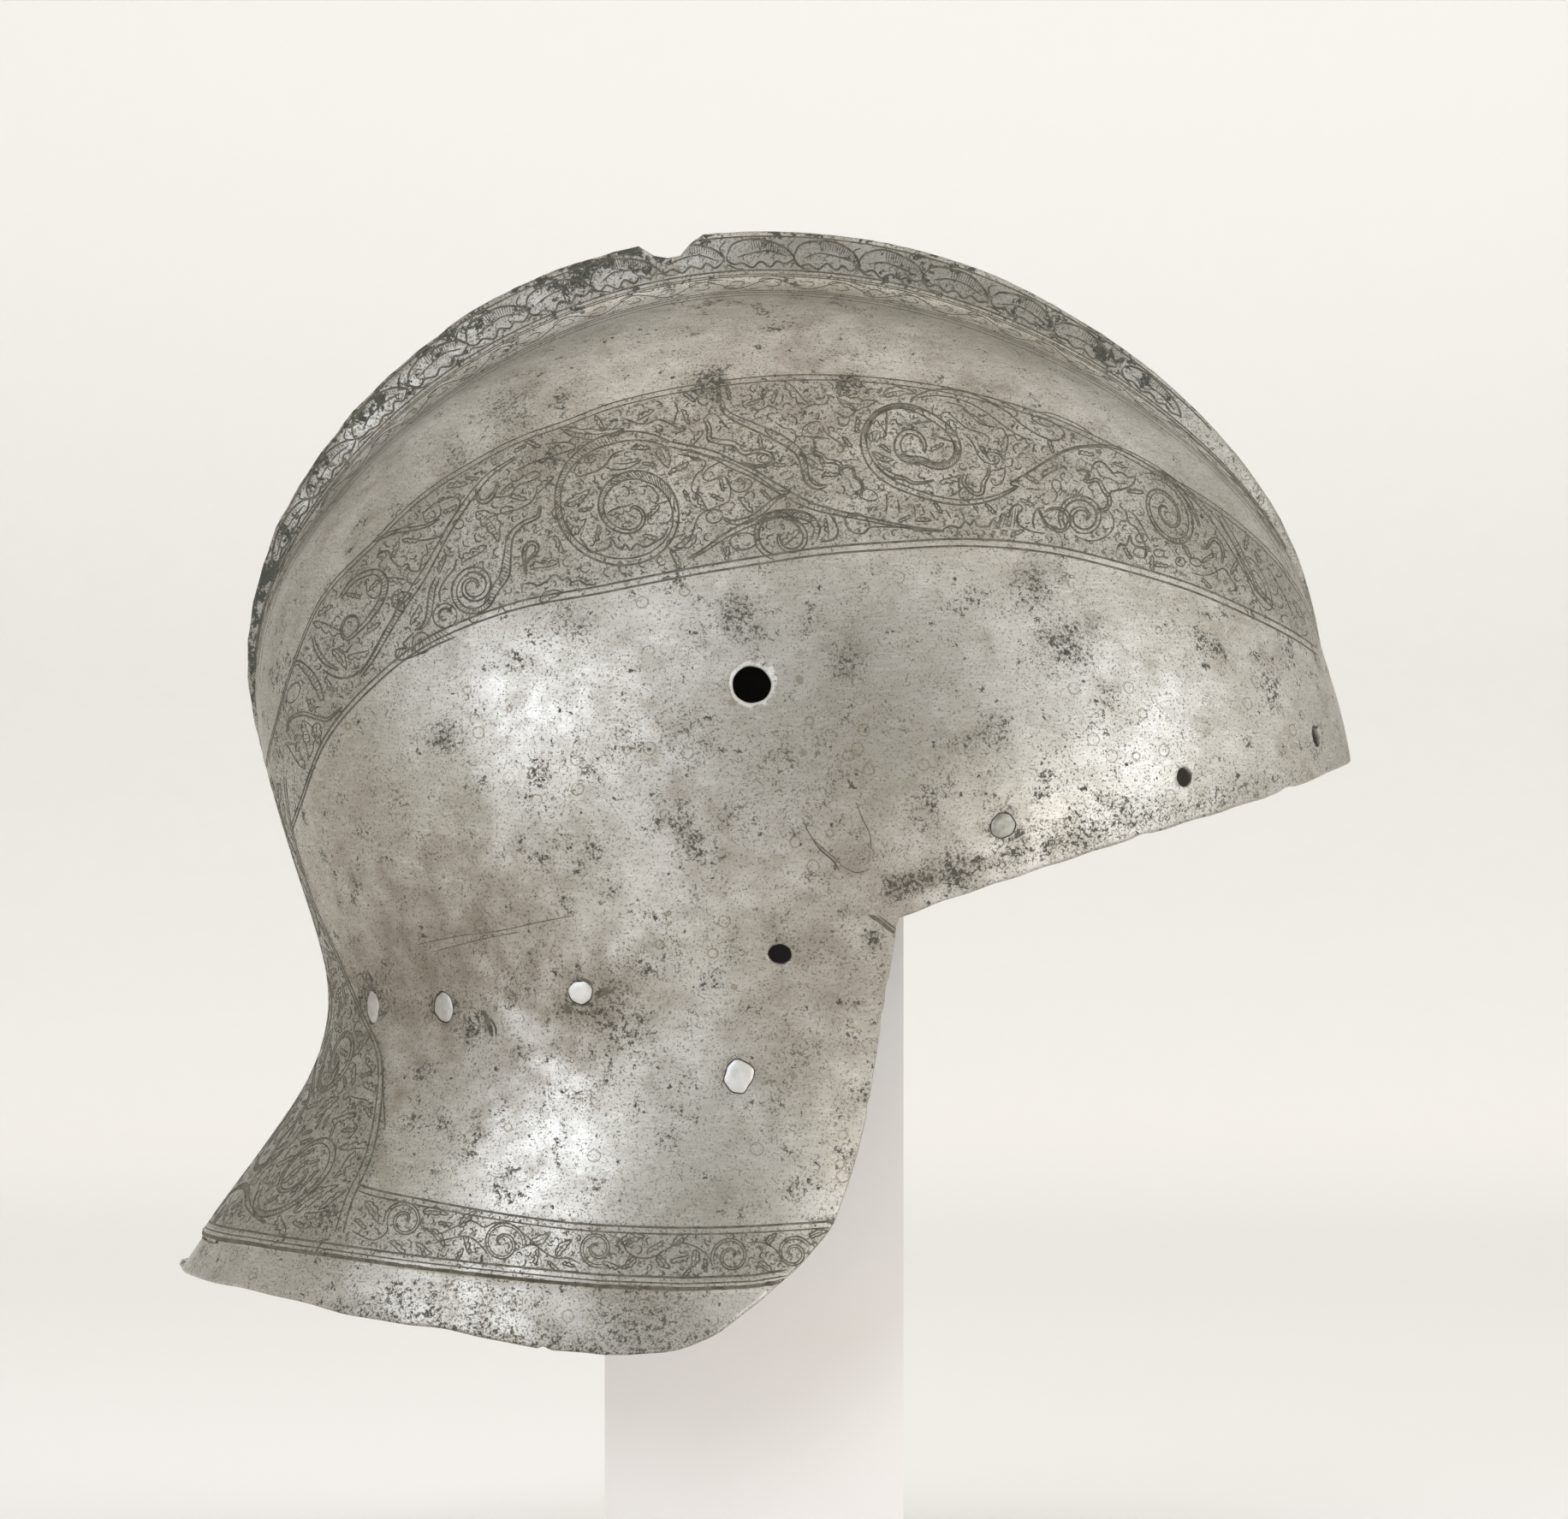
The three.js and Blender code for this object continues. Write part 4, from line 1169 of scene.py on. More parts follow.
def second_scroll(pen):
    """The second scroll, its stem and what grows inside it."""
    pen.coil(39, 273.5, -20, -45, [25.4, 14.1, 10.6, 12.0, 14.0, 12.6, 9.7, 10.0, 9.4, 4.2, 3.4, 4.8, 5.8,
                                   5.6, 3.6, 2.2, 1.5],
             [0.4, 1.2, 1.3, 1.6, 1.0, 1.5, 1.6, 1.7, 1.0, 0.5], [(0.42, 0.56), (0.7, 0.86)])
    pen.vine("63 264.8 61 265.6 65.2 268.2 69.3 270.8 72.4 272.7 75.5 274.1 78.7 274.8 83.8 275 88 274.4"
             " 94.3 271.2 99.1 268 104 264.1 107.4 260.7 111.3 255.9 115 250 119 243",
             [0, 0.3, 0.6, 1.0, 1.4, 1.2], [(0.6, 0.75)])
    pen.leaf(27, 277, 31.6, 277, 5.4, 1.2, 3)
    pen.ticks("31.4 279.4 31.6 281.4", 4.2, 92)
    pen.leaf(28, 273, 33.4, 271, 1.6, -0.6, 2)
    pen.vine("28.6 270.6 30.4 268.4 32.8 266.8 35.6 266.2 37.8 265.2 41 265.6 42.8 266.2",
             [0.6, 1.0, 0.7, 0.2])
    pen.draw("""
        33 265.8 33.4 267.2 35 267 36.2 266.2,
        36 284 37 282.8 38.4 283.4 39.8 284 40.4 282.4 41 281.8""")
    pen.draw("""
        37.6 280.2 40.2 280.4 43.4 280.7,
        42.4 277.8 44.4 276.6 46.6 275.9 48.6 275.7""", pen.BOLD)
    pen.line("43 284.8 42.6 283 44 282 46 283 48 281.4 50.6 279.2 52.4 278.4 54.6 277.8 56.2 276.6"
             " 55.6 275.2")
    pen.leaf(46.6, 281.2, 48.6, 276.8, 2.8, -0.6, 3)
    pen.draw("""
        49.6 278 51.4 276.4 52.6 274.4 53.4 272.4 55 270.8 57 270.2 58.4 271 58.2 272.2,
        53.2 275.6 54.2 273.6 55.6 272 56.4 270.8""")


def calyx(pen):
    """The bead, its calyx, and the leaves between the second scroll and its stem."""
    pen.bead(50.4, 262.9, 1.7)
    pen.line("49 266.8 48.6 265 49 263.8 47.6 262.8 46.4 262.4", pen.BOLD)
    pen.vine("50 268 49.4 265.8 51 263.6 52.6 262.6 54.4 263 55 265.6 56 267.6 56.2 270",
             [0.9, 0.7, 0.9, 0.4])
    pen.draw("""
        55.8 267.6 56.8 268.8 58.2 268.8 59.6 269.4 59.6 267.4 58.6 265.4 57 265.2 56.2 266.6,
        57.8 278.8 59.2 279.2 60.6 277.2 62 277.6 63 276.2 64.6 276.8 65.4 275.4 67 275.8,
        56.4 273.2 58 273 59.6 271.4 61.4 271.8 61.4 270 60 269.6""")


def looped_leaf(pen):
    """The long looped leaf above."""
    pen.line("37.6 286 39.6 287.4 42.6 288.5 46.1 288.7 50.2 288.2 54.3 286.8 57.9 284.9 61 283 63.6 280.6"
             " 66.4 278.6 69.4 277 72 276.3 74 277.2 74.2 278.9 71.6 280.9 68 282.4 66.6 281.8 68 280.6"
             " 71 279.6", pen.BOLD)
    pen.draw("""
        38.8 286.4 42 287 45.4 287 49.8 286 53.4 284.4 57 282 60.2 279.4 63.4 277.4 67 276,
        56 287 59.6 285.8 62.6 284 63 282.4 61 282,
        66.8 283.4 71 283.2 75 281.8 79 279.8 82 277.6,
        45.6 285.4 49.6 284.6 52.4 281.6 54.6 280 58 279.4,
        50 283.6 53 282 55.8 279.6""")


def small_scroll(pen):
    """Below: ticks, a scalloped leaf and a small scroll."""
    pen.ticks("31.4 260.6", 4.2, 90)
    pen.ticks("34.2 259.8 38 258.6", 3.2, 96)
    pen.ticks("42.2 257.8 46 258 49.2 258.2 52.6 259.2", 2.4, 122)
    pen.ticks("32.6 262.2 24 263.4", 1.4, 10)
    pen.line("44.6 254.2 46.4 255.2 48.8 254.8 50 256.4 51.2 255.4 52.2 256.8 53 255.2 55.6 255.2"
             " 56.6 256.8 58 255.8 58.8 258.2 60.4 257.4 61 259.4 62.6 260.6 63.8 259.6 62.4 257.6"
             " 62.8 255.4", pen.BOLD)
    pen.patch([(57, 254.6), (62.6, 255.2)], [(58.6, 257.6), (62.8, 260)])
    pen.line("62 256.8 63.6 255 66.4 253.9 69 253.6")
    pen.vine("67.6 259.8 68.4 258 69.6 256 71.6 254.8 73.6 254.8 74.6 257 73.4 259 71 259.4 69 258.6",
             [-0.2, -0.6, -0.8, -0.3], [(0, 0.3)])
    pen.line("66.6 254.6 66.2 256.8 67.2 259.4 69 259.8", pen.BOLD)
    pen.coil(78.2, 257.6, 215, -75, [4.8, 4.6, 3.9, 3.3, 2.9, 2.4, 1.9, 1.5, 0.8], [-1, -1.1, -1.0, -0.4],
             [(0, 0.3)])
    pen.draw("""
        76.4 253 79.6 251.9 83 252.6 85.4 254.8 85.6 257.6 84.4 259.4,
        71.2 261 72.2 263 71 265.2 71.4 266.6 73 266.2 73.2 264.2 74.4 263.4 76.2 263 77.4 263.6 78.4 265""")
    pen.patch([(71.6, 262.8), (78, 262)], [(73.2, 264.6), (78.6, 264.4)])
    pen.vine("77 268.8 79 269 79.8 267.8 78.6 266.6 80 266 82 266.4 83.2 264 84.4 262.4 84 260.2"
             " 81.4 259.2", [0.3, 0.7, 0.9, 0.5], [(0.4, 0.9)])
    pen.line("80.4 268.6 81.6 271 83.4 271.2 85 269.8 86 268.6 88 268.8 89.8 267.6 91.4 267.8 90.6 265.8"
             " 88 264.6 85.4 264 84.4 262.4", pen.BOLD)
    pen.line("81.8 269.6 83.2 267.8 85.6 267 87.4 266 89.4 266.2")
    pen.ticks("65.6 264.4 67.4 264.2 62.8 266.2", 1.8, 6)


def oval_scroll(pen):
    """The third, oval scroll and the foliage that leads to the brow."""
    turned = np.radians(np.arange(120, 900, 9))
    shrink = np.interp(turned, turned[[0, -1]], (1.0, 0.12))
    ahead, across = 10.6 * shrink * np.cos(turned - 2.07), 6.4 * shrink * np.sin(turned - 2.07)
    oval = np.column_stack([98.8 - ahead * 0.48 + across * 0.88, 259.2 + ahead * 0.88 + across * 0.48])
    pen.keep(oval, pen.BOLD)
    within = [98.8, 259.2] + (oval - [98.8, 259.2]) * 0.84
    pen.keep(within, pen.PLAIN)
    for part in ((0.02, 0.2), (0.34, 0.5), (0.62, 0.8)):
        pen.hatch(oval, within, part=part)
    pen.vine("96 269.4 99 268.4 102 265 105 260.4 106.8 256", [0.4, 0.9, 0.4])
    pen.line("88.8 259.6 89.4 256.6 91.2 255.2 92.6 252.6 93.4 250.4 93 247.6", pen.BOLD)
    pen.line("89.2 259.6 91.2 258 92.4 256 93.6 253.8 94.8 251.6", pen.PLAIN)
    pen.line("86.2 250 87.4 251.4 88.6 250.8 89.6 253.4 90.2 251.4 92 250.6 94 250.8", pen.BOLD)
    pen.bead(92.4, 252.8, 1.4, 0.8)
    pen.bead(92, 249.2, 1.7, 0.7, -15)
    pen.bead(96.6, 249.2, 1.3, 0.7, -10)
    pen.bead(101.8, 247.2, 1.2, 0.9, -20, True)
    pen.bead(105.6, 247.2, 1.5, 0.6, -20)
    pen.line("104.6 244.6 107.4 244 110 244.6 112.6 245.8 114.4 243.4 115.8 241 113.6 240.2", pen.PLAIN)
    pen.vine("107 250.6 108.8 250.6 110.2 252.6 111.8 251.6 112.4 249.4 112 247.4", [0.4, 0.8, 0.4])
    pen.bead(121.4, 242.4, 2.2, 3.2, 24)
    pen.bead(121.6, 242.2, 1.1, 3.4, 24)
    pen.vine("111.6 259 113.6 255.4 116 250.6 118.2 245.6 121 240.4 125.4 236.2", [1.0, 1.4, 0.8],
             [(0.3, 0.8)])
    pen.line("124 247 126.4 243 128.6 239 130.4 235")


def foliage_at_back(pen):
    """The foliage at the back: the diagonal stem, its loops and a fourth scroll."""
    pen.vine("-93.4 219.6 -90 224 -87 229 -83.5 234.8 -78 243 -73.3 252 -70.6 256.7 -66.6 262.6 -62.6 267.6"
             " -56.6 272", [0.6, 1.2, 1.8, 1.2, 1.4, 0.4], [(0.05, 0.35)])
    pen.line("-103 221.5 -100.2 219.8 -97.3 219.4 -94.4 220.5 -91.5 223.7 -88 230 -85.4 234.4 -84 238.6",
             pen.BOLD)
    pen.vine("-94.7 230.2 -94 232.4 -95 234.3 -97.3 234 -98.6 231.6 -98.2 229.2 -96.4 228.5 -94.2 230.2"
             " -91.3 233 -88.3 237.2 -87.1 240.8 -87.6 243.6 -89.6 245.3 -93 244.9 -96.5 242.7 -99.4 238.6",
             [0.2, 0.5, 1.0, 1.5, 1.2, 0.6], [(0.45, 0.7)])
    pen.line("-92.4 242.2 -92.2 239.6 -90.4 238.4 -88.9 239.8 -88.9 242.4 -90.2 244")
    pen.leaf(-84.4, 240.6, -83, 234.6, 3.4, -0.8, 2)
    pen.leaf(-86, 236.4, -81, 239.4, 3.2, 0.6, 2)
    pen.coil(-66.3, 240.8, -20, -90, [5.7, 6.3, 4.8, 4.8, 3.9, 3.2, 2.6, 1.9, 0.9], [1.3, 1.2, 1.2, 0.9, 0.4],
             [(0, 0.3)])
    pen.bead(-73, 234, 2.9)
    pen.coil(-73, 234, 30, 90, [1.9, 1.8, 1.4, 0.9], [0.3, 0.2])
    pen.bead(-78.6, 227.6, 2.2, 1.15)
    pen.vine("-75.4 243.4 -76.8 240.4 -77.2 237.6 -77.6 234 -78.6 231.6 -80.4 230.8", [1.0, 1.4, 1.2, 0.2],
             [(0, 1)])
    pen.draw("""
        -70.4 247.6 -71.2 245 -73 242.8 -74.4 240 -74.2 237.2,
        -80.6 230 -83 227.4 -82 226.4 -84.6 226 -84.2 223.6 -80 224.6 -76 226.6 -70.4 229""", pen.BOLD)
    pen.patch([(-85, 223), (-71, 229)], [(-83.4, 226.8), (-74, 231)], 1.0)
    pen.line("-79 258.8 -75.8 261.4 -72.2 262.6 -70 261.8 -70.6 259.4 -72.8 255.8 -74.6 253.2 -77.6 252.4"
             " -79.8 252.2", pen.BOLD)
    pen.line("-79 258.8 -78.4 256.8 -76.4 256.8 -74.8 258.2 -74.8 260.2 -75.6 261.2")
    pen.vine("-91 252 -86 254 -81.6 254.6 -77.6 255.6 -74.8 257.4", [0.4, 1.0, 0.4])
    pen.line("-87 253.6 -84 255.4 -80.8 256.6")
    pen.line("-90 249 -87.4 249.8 -86.3 247.6 -84.2 245.9 -82.4 246.6 -81.7 245 -79.5 245 -78.8 248.2"
             " -77.6 249 -78 251.4", pen.BOLD)
    pen.bead(-88.8, 248.8, 1.0)
    pen.line("-82 244.6 -82.4 242.6 -80.6 241.6 -79 243")
    pen.bead(-70.2, 256, 1.3, 0.9)
    pen.vine("-66.4 264.6 -65.6 261.4 -63.4 261 -61.6 263 -60.8 266.2", [0.3, 1.1, 0.3])
    pen.leaf(-66, 259, -60.4, 251.4, 4.4, 1.4, 4)
    pen.draw("""
        -62.6 257.6 -59.4 258.6 -55.4 259.6 -52.6 261.4 -51.6 263.6,
        -61.6 262.4 -58.2 262.8 -56 265.2 -52.6 266.4 -50.6 267.6 -52 268.6 -54.4 267.6 -56.6 266""")
    pen.bead(-58.6, 259.2, 1.6, 0.6, 8)
    pen.vine("-62.4 236 -60.4 239.4 -57.8 243.2 -57.4 247.6 -57 252.4 -54.6 255.4 -51 257.4 -50.4 260.4",
             [1.6, 2.2, 1.2, 0.4], [(0.05, 0.5)])
    pen.vine("-53.8 243.4 -54.4 246.4 -54.6 249.6 -53 251.6 -51 251 -51 249 -53 247 -54.2 245.2",
             [-0.3, -0.9, -0.8, -0.2], [(0.2, 0.6)])
    pen.line("-54.4 241.4 -52.4 241.6 -50.8 241 -48.6 242.2 -47.4 243.4 -46.2 243.4 -45 242.2 -43.8 243"
             " -42.8 241.8 -41 242.2 -39.4 241.2 -37.2 241.2", pen.BOLD)
    pen.patch([(-44, 240.4), (-37.6, 241)], [(-44, 242.6), (-38, 241.6)])
    pen.leaf(-50.4, 237.2, -44.8, 239.4, 2.4, 0.6, 2)
    pen.line("-60.2 234.6 -59.6 236.8 -58.6 235 -57 235.4")
    pen.ticks("-46 246.4 -54.8 240.4", 2.2, 100)
    pen.line("-52.8 254.6 -51.4 255.6 -52 253.6 -49.8 254.8")
    for x, z, r, facing in ((-44, 246.4, 1.1, 30), (-39.6, 245.2, 1.3, 60), (-34.2, 244, 1.2, 0),
                            (-30.4, 244.8, 1.3, 20), (-26, 246.2, 1.2, 20), (-21.4, 246.8, 1.4, 30),
                            (-47, 270.8, 1.0, 0), (-43.4, 272.4, 0.9, 40), (-41.2, 274, 0.9, -20),
                            (-57, 267, 0.9, 90), (-66, 233.4, 1.3, 60), (-60.6, 249, 1.2, 0)):
        pen.hook(x, z, r, facing)


def lowest_end(pen):
    """The lowest end, behind the ear."""
    pen.vine("-111 223 -109 223.6 -106 221.4 -103.8 218.2 -102.6 214", [-0.6, -1.6, -1.8, -0.8],
             [(0.3, 0.9)])
    pen.vine("-112.3 206.4 -111.4 209.4 -108 210.6 -104.5 209.6 -101.5 209.3 -98 212.4",
             [0.2, 0.8, 0.8, 0.2])
    pen.leaf(-108, 209.4, -106.4, 200.4, 3.4, 0.8, 3)
    pen.leaf(-104.4, 209, -103.6, 203.4, 2.6, -0.5, 3)
    pen.bead(-110.6, 216, 1.5, 1.8, -30)
    pen.vine("-106 229.6 -105 226 -102.6 222.8 -99 221.2", [0.5, 1.2, 0.4], [(0.3, 0.9)])
    pen.leaf(-100.6, 226.4, -97, 221.4, 2.4, 0.5, 3)
    pen.line("-101 226 -99 226.4 -97.4 225.6 -95.4 227.6")
    pen.ticks("-99.4 216.2 -98.2 216.6 -97 217.2 -95.6 217.8 -93.6 218.4", 1.7, 100)


def upper_band():
    """Scrolling foliage between the two borders of the upper band, in the side view."""
    pen = Pen()
    low, high = np.array(BAND_LOW, float), np.array(BAND_HIGH, float)
    for shift, width in ((0, pen.BOLD), (-1.7, pen.BOLD)):
        pen.line(low + [0, shift], width)
    for shift in (0, -1.3):
        pen.line(high + [0, shift], pen.PLAIN)
    for part in (largest_scroll, leaves_between_scrolls, leaves_over_scroll, fish_tailed_leaf,
                 second_scroll, calyx, looped_leaf, small_scroll, oval_scroll, foliage_at_back, lowest_end):
        part(pen)

    def inside(x, z):
        return follow(BAND_LOW, x) + 1.3 < z < follow(BAND_HIGH, x) - 2.3

    pen.fill(inside, ((-112, 134), (200, 290)), 17, 9000, 2.5)
    return pen.lines


LOW_TOP = """-94 99.4 -90 98.3 -80 96.6 -70 95 -60 93.5 -50 92.2 -40 91.2 -30 90.7 -20 90.4 -10 90.4
    0 90.7 10 91.2 21 91.8"""


def lower_band():
    """The narrow scroll band over the flared border, in the side view."""
    pen = Pen()
    top = points_of(LOW_TOP)
    for shift, width in ((0, pen.BOLD), (-1.5, pen.PLAIN)):
        pen.line(top + [0, shift], width)
    for x, z, r, start, way in ((-82.4, 91.6, 3.9, -170, -1), (-58.6, 86.8, 4.3, -10, 1),
                                (-36.8, 85.4, 3.6, -70, -1), (-5.4, 83.9, 3.9, -150, -1),
                                (9.4, 84.6, 3.4, 20, 1)):
        pen.coil(x, z, start, 75 * way, [r * k for k in (1.25, 1.05, 1.0, 0.95, 0.85, 0.6, 0.45, 0.4, 0.2)],
                 [0.7, 0.6, 0.6, 0.3], [(0.1, 0.3)], pen.PLAIN)
    pen.draw("""
        -95 88.6 -90 86.6 -86.6 88.4 -86.4 91.2,
        -78.6 90.4 -74.6 88.4 -70.4 90 -66.4 91.6 -63.2 90.2 -60.8 91.2 -57.4 91.2 -54 89 -50.4 85.8,
        -75.4 86.2 -71.2 87.4 -67 88 -64 86 -62 83.6,
        -54.6 85.4 -51.6 86.4 -48.6 84.4 -46 83.2 -43 83.2 -40.6 82,
        -34 88.8 -31 87.6 -29.6 85 -27 83.4 -23.4 83.6 -20.6 85.2 -17 86.8 -13.6 86 -10.8 84 -9.4 81.4,
        -1.4 86.8 2 86.9 5 85.4 7.4 82.6 10 81.8""")
    for x0, z0, x1, z1, wide, bend, lobes in (
            (-78, 93.4, -71.6, 92.8, 2.0, 0.6, 3), (-76, 89.6, -72.4, 85.2, 1.8, 0.5, 3),
            (-69, 90, -65, 94, 1.8, 0.4, 3), (-52.4, 86.6, -47.4, 89.4, 2.2, -0.5, 3),
            (-46.2, 83.6, -42.4, 87.6, 2.0, 0.5, 3), (-31, 86.8, -25.2, 88.4, 2.6, 0.5, 4),
            (-27.4, 83.6, -31, 80.8, 1.8, 0.3, 3), (-22.6, 84, -19.4, 80.8, 2.0, -0.3, 3),
            (-18.6, 86.2, -15, 88.8, 2.0, 0.4, 3), (-13.4, 85.4, -14.4, 81, 2.0, 0.4, 3),
            (3, 86.4, 5.6, 89, 1.6, 0.2, 3), (1, 82.4, 4.6, 79.8, 1.6, 0.2, 2),
            (13, 88, 17.6, 89.4, 1.6, 0.3, 3), (-92, 95.6, -88.6, 90.4, 2.4, 0.6, 3)):
        pen.leaf(x0, z0, x1, z1, wide, bend, lobes)

    def inside(x, z):
        return follow(STEP_LINE, x) + 3.8 < z < follow(top, x) - 2.4

    pen.fill(inside, ((-94, 16), (79, 97)), 29, 2600, 1.4)
    return pen.lines


def border_lines():
    """The painted shadow along the foot of the step over the flared border, as two dark lines, and the two
    etched lines above it, to the nape's middle.
    """
    pen = Pen()
    x = 8 + (BACK(depth_of(STEP_LINE[0][1])) - 8) * np.sin(np.linspace(0, math.pi / 2, 260))
    # the two higher lines are etched; the wide one at 0.15 and the one below it are painted shadow under the
    # step
    for rise, width in ((2.9, pen.BOLD), (1.5, pen.PLAIN), (0.15, 0.95), (-0.75, pen.PLAIN)):
        pen.keep(np.column_stack([x, follow(STEP_LINE, x) + rise]), width)
    return pen.lines


# steps in degrees round the crown, and the three lines of one curl: degrees on from its start, and height
LEAF_STEP, WAVE = 8.2, 4.4
CURLS = [[(-1.2, -1.9), (0, -1.2), (1.4, 0.4), (2.8, 1.7), (4.2, 2.0), (5.0, 1.2), (4.6, 0.4), (3.8, 0.5)],
         [(0.6, 1.9), (1.6, 2.2), (2.4, 2.5)],
         [(3.0, 0.9), (2.4, -0.4), (3.2, -1.2), (4.2, -0.8)]]


def comb_lines():
    """Leaves along the comb's faces and a running scroll on its fillet, in the side view."""
    pen = Pen()
    columns = make_columns()
    place = np.array([[c[0][0], c[0][2], c[2][0], c[2][2]] for c in columns])
    share, angle = comb_share(place[:, 0], place[:, 1])
    order = np.argsort(angle)
    angle, place, share = angle[order], place[order], share[order]
    share = np.minimum(share, np.interp(angle, [20, 45, 150, 180], [0.3, 1, 1, 0.3]))

    def at(a, rise):
        x, z, ux, uz = (np.interp(a, angle, place[:, k]) for k in range(4))
        tall = rise * np.interp(a, angle, share) if rise > 0 else rise
        return x + ux * tall, z + uz * tall

    def along(rise, first, last, width):
        pen.keep(np.array([at(a, rise) for a in np.arange(first, last, 0.25)]), width)

    for rise, first, last, width in ((13.8, 34, 156, pen.PLAIN), (5.4, 20, 172, pen.PLAIN),
                                     (4.4, 20, 172, pen.FINE), (-1.2, 18, 174, pen.FINE)):
        along(rise, first, last, width)
    # the leaves, each a little different, as long as the comb is tall enough for them
    rng = random.Random(41)

    def drawn(a, places, width):
        return pen.line([at(a + da, rise + rng.uniform(-0.35, 0.35)) for da, rise in places], width)

    for k in range(16):
        a = 30 + LEAF_STEP * k + rng.uniform(-0.5, 0.5)
        if math.dist(at(a, 5.8), at(a, 13)) < 3:
            continue
        back = drawn(a, ((-0.6, 8.2), (0.4, 10.6), (2.4, 12.6), (4.8, 13.0), (6.8, 11.8), (7.6, 9.6)),
                     pen.BOLD)
        belly = drawn(a, ((-0.6, 8.2), (0.6, 6.8), (1.6, 7.6), (2.4, 6.4), (3.6, 7.4), (4.6, 6.2), (5.8, 7.4),
                          (6.8, 6.8), (7.6, 8.2), (7.6, 9.6)), pen.BOLD)
        pen.hatch(back, back * 0.6 + belly[np.linspace(0, len(belly) - 1, len(back)).astype(int)] * 0.4, 0.6,
                  (0.08, 0.62))
        drawn(a, ((0.4, 8.6), (2.4, 9.8), (4.6, 9.8), (6.4, 8.8)), pen.PLAIN)
        for first in (1.6, 3.4, 5.2):
            drawn(a, ((first, 9.6), (first + 0.5, 8.8), (first + 0.4, 7.9)), pen.FINE)
        drawn(a, ((7.6, 12.8), (8.4, 11.6), (8.2, 10.2), (7.8, 9.0)), pen.PLAIN)
        drawn(a, ((5.6, 5.8), (6.6, 6.2), (7.6, 7.0), (8.0, 6.0)), pen.PLAIN)
    # the running scroll: long flat curls, up and down by turns, between fine lines
    for k in range(34):
        flip = 1 if k % 2 else -1
        for curl in CURLS:
            pen.line([at(20 + WAVE * k + da, 2.0 + 0.66 * flip * up) for da, up in curl], pen.FINE)
    for rise in (3.9, 0.1, -0.4):
        along(rise, 20, 172, pen.FINE)
    return pen.lines


def nape_panel():
    """The upright panel of foliage down the middle of the nape, in the view from behind."""
    pen = Pen()
    edge = "72 88 69 96 66 106 60 118 53 130 43 140 34 152 27 166 28 180 35 196"
    for side in (1, -1):
        mirror = [side, 1]
        border = points_of(edge) * mirror
        pen.line(border, pen.BOLD)
        pen.line(border - [side * 1.4, 0], pen.PLAIN)
        for x, z, r, start, way in ((50, 101, 9.5, 200, 1), (24, 112, 10.5, -20, -1), (36, 128, 8, 150, 1),
                                    (13, 139, 8.5, -60, 1), (17, 163, 8.5, 240, -1), (14, 186, 8, 100, 1)):
            if side < 0:
                start, way = 180 - start, -way
            pen.coil(x * side, z, start, 70 * way,
                     [r * k for k in (1.3, 1.1, 1.0, 0.9, 0.85, 0.62, 0.5, 0.42, 0.2)],
                     [1.3, 1.4, 1.2, 0.5], [(0.1, 0.4), (0.6, 0.8)])
        for text in ("2 90 14 94 28 96 40 92 52 89", "3 100 10 104 14 112 13 121",
                     "6 124 14 126 24 122 33 118", "2 128 5 134 4 142 8 149",
                     "3 150 7 154 8 162 7 168", "2 172 6 176 6 184 9 192"):
            pen.vine(points_of(text) * mirror, np.array([0.4, 1.5, 1.2, 0.3]) * side, [(0.2, 0.7)])
        for x0, z0, x1, z1, wide, bend in ((4, 93, 12, 101, 5, 1.2), (30, 97, 36, 106, 5, 1),
                                           (58, 92, 64, 99, 4, 1), (40, 114, 46, 119, 4, 0.8),
                                           (22, 126, 27, 135, 4.4, 1),
                                           (24, 142, 22, 152, 4.4, 1), (26, 172, 24, 178, 3.6, 0.6),
                                           (4, 116, 8, 123, 4, 0.8), (24, 190, 30, 194, 3.6, 0.6)):
            pen.leaf(x0 * side, z0, x1 * side, z1, wide, bend * side, 4)
    for z in (96, 110, 124, 146, 170, 192):
        pen.bead(0, z, 2.2, 1.25)
        pen.leaf(0, z + 3, 0, z + 11, 4.6, 0, 4)

    free = [(88, 68), (96, 66), (106, 63), (118, 57), (130, 50), (140, 40), (152, 31), (166, 24), (180, 25),
            (196, 31)]

    def inside(x, z):
        return abs(x) < follow(free, z)

    pen.fill(inside, ((-70, 70), (89, 195)), 53, 9000, 2.2)
    return pen.lines


band, low_band, comb_design = upper_band(), lower_band(), comb_lines()
for side, side_name, wander in ((RIGHT, "right", 0.0), (LEFT, "left", 0.7)):
    etch(f"etching_upper_{side_name}", band, from_side(side, wander))
    etch(f"etching_lower_{side_name}", low_band, from_side(side, wander))
    etch(f"etching_comb_{side_name}", comb_design, from_side(side))
    etch(f"border_lines_{side_name}", border_lines(), on_plate(side))
etch("etching_nape", nape_panel(), from_back)


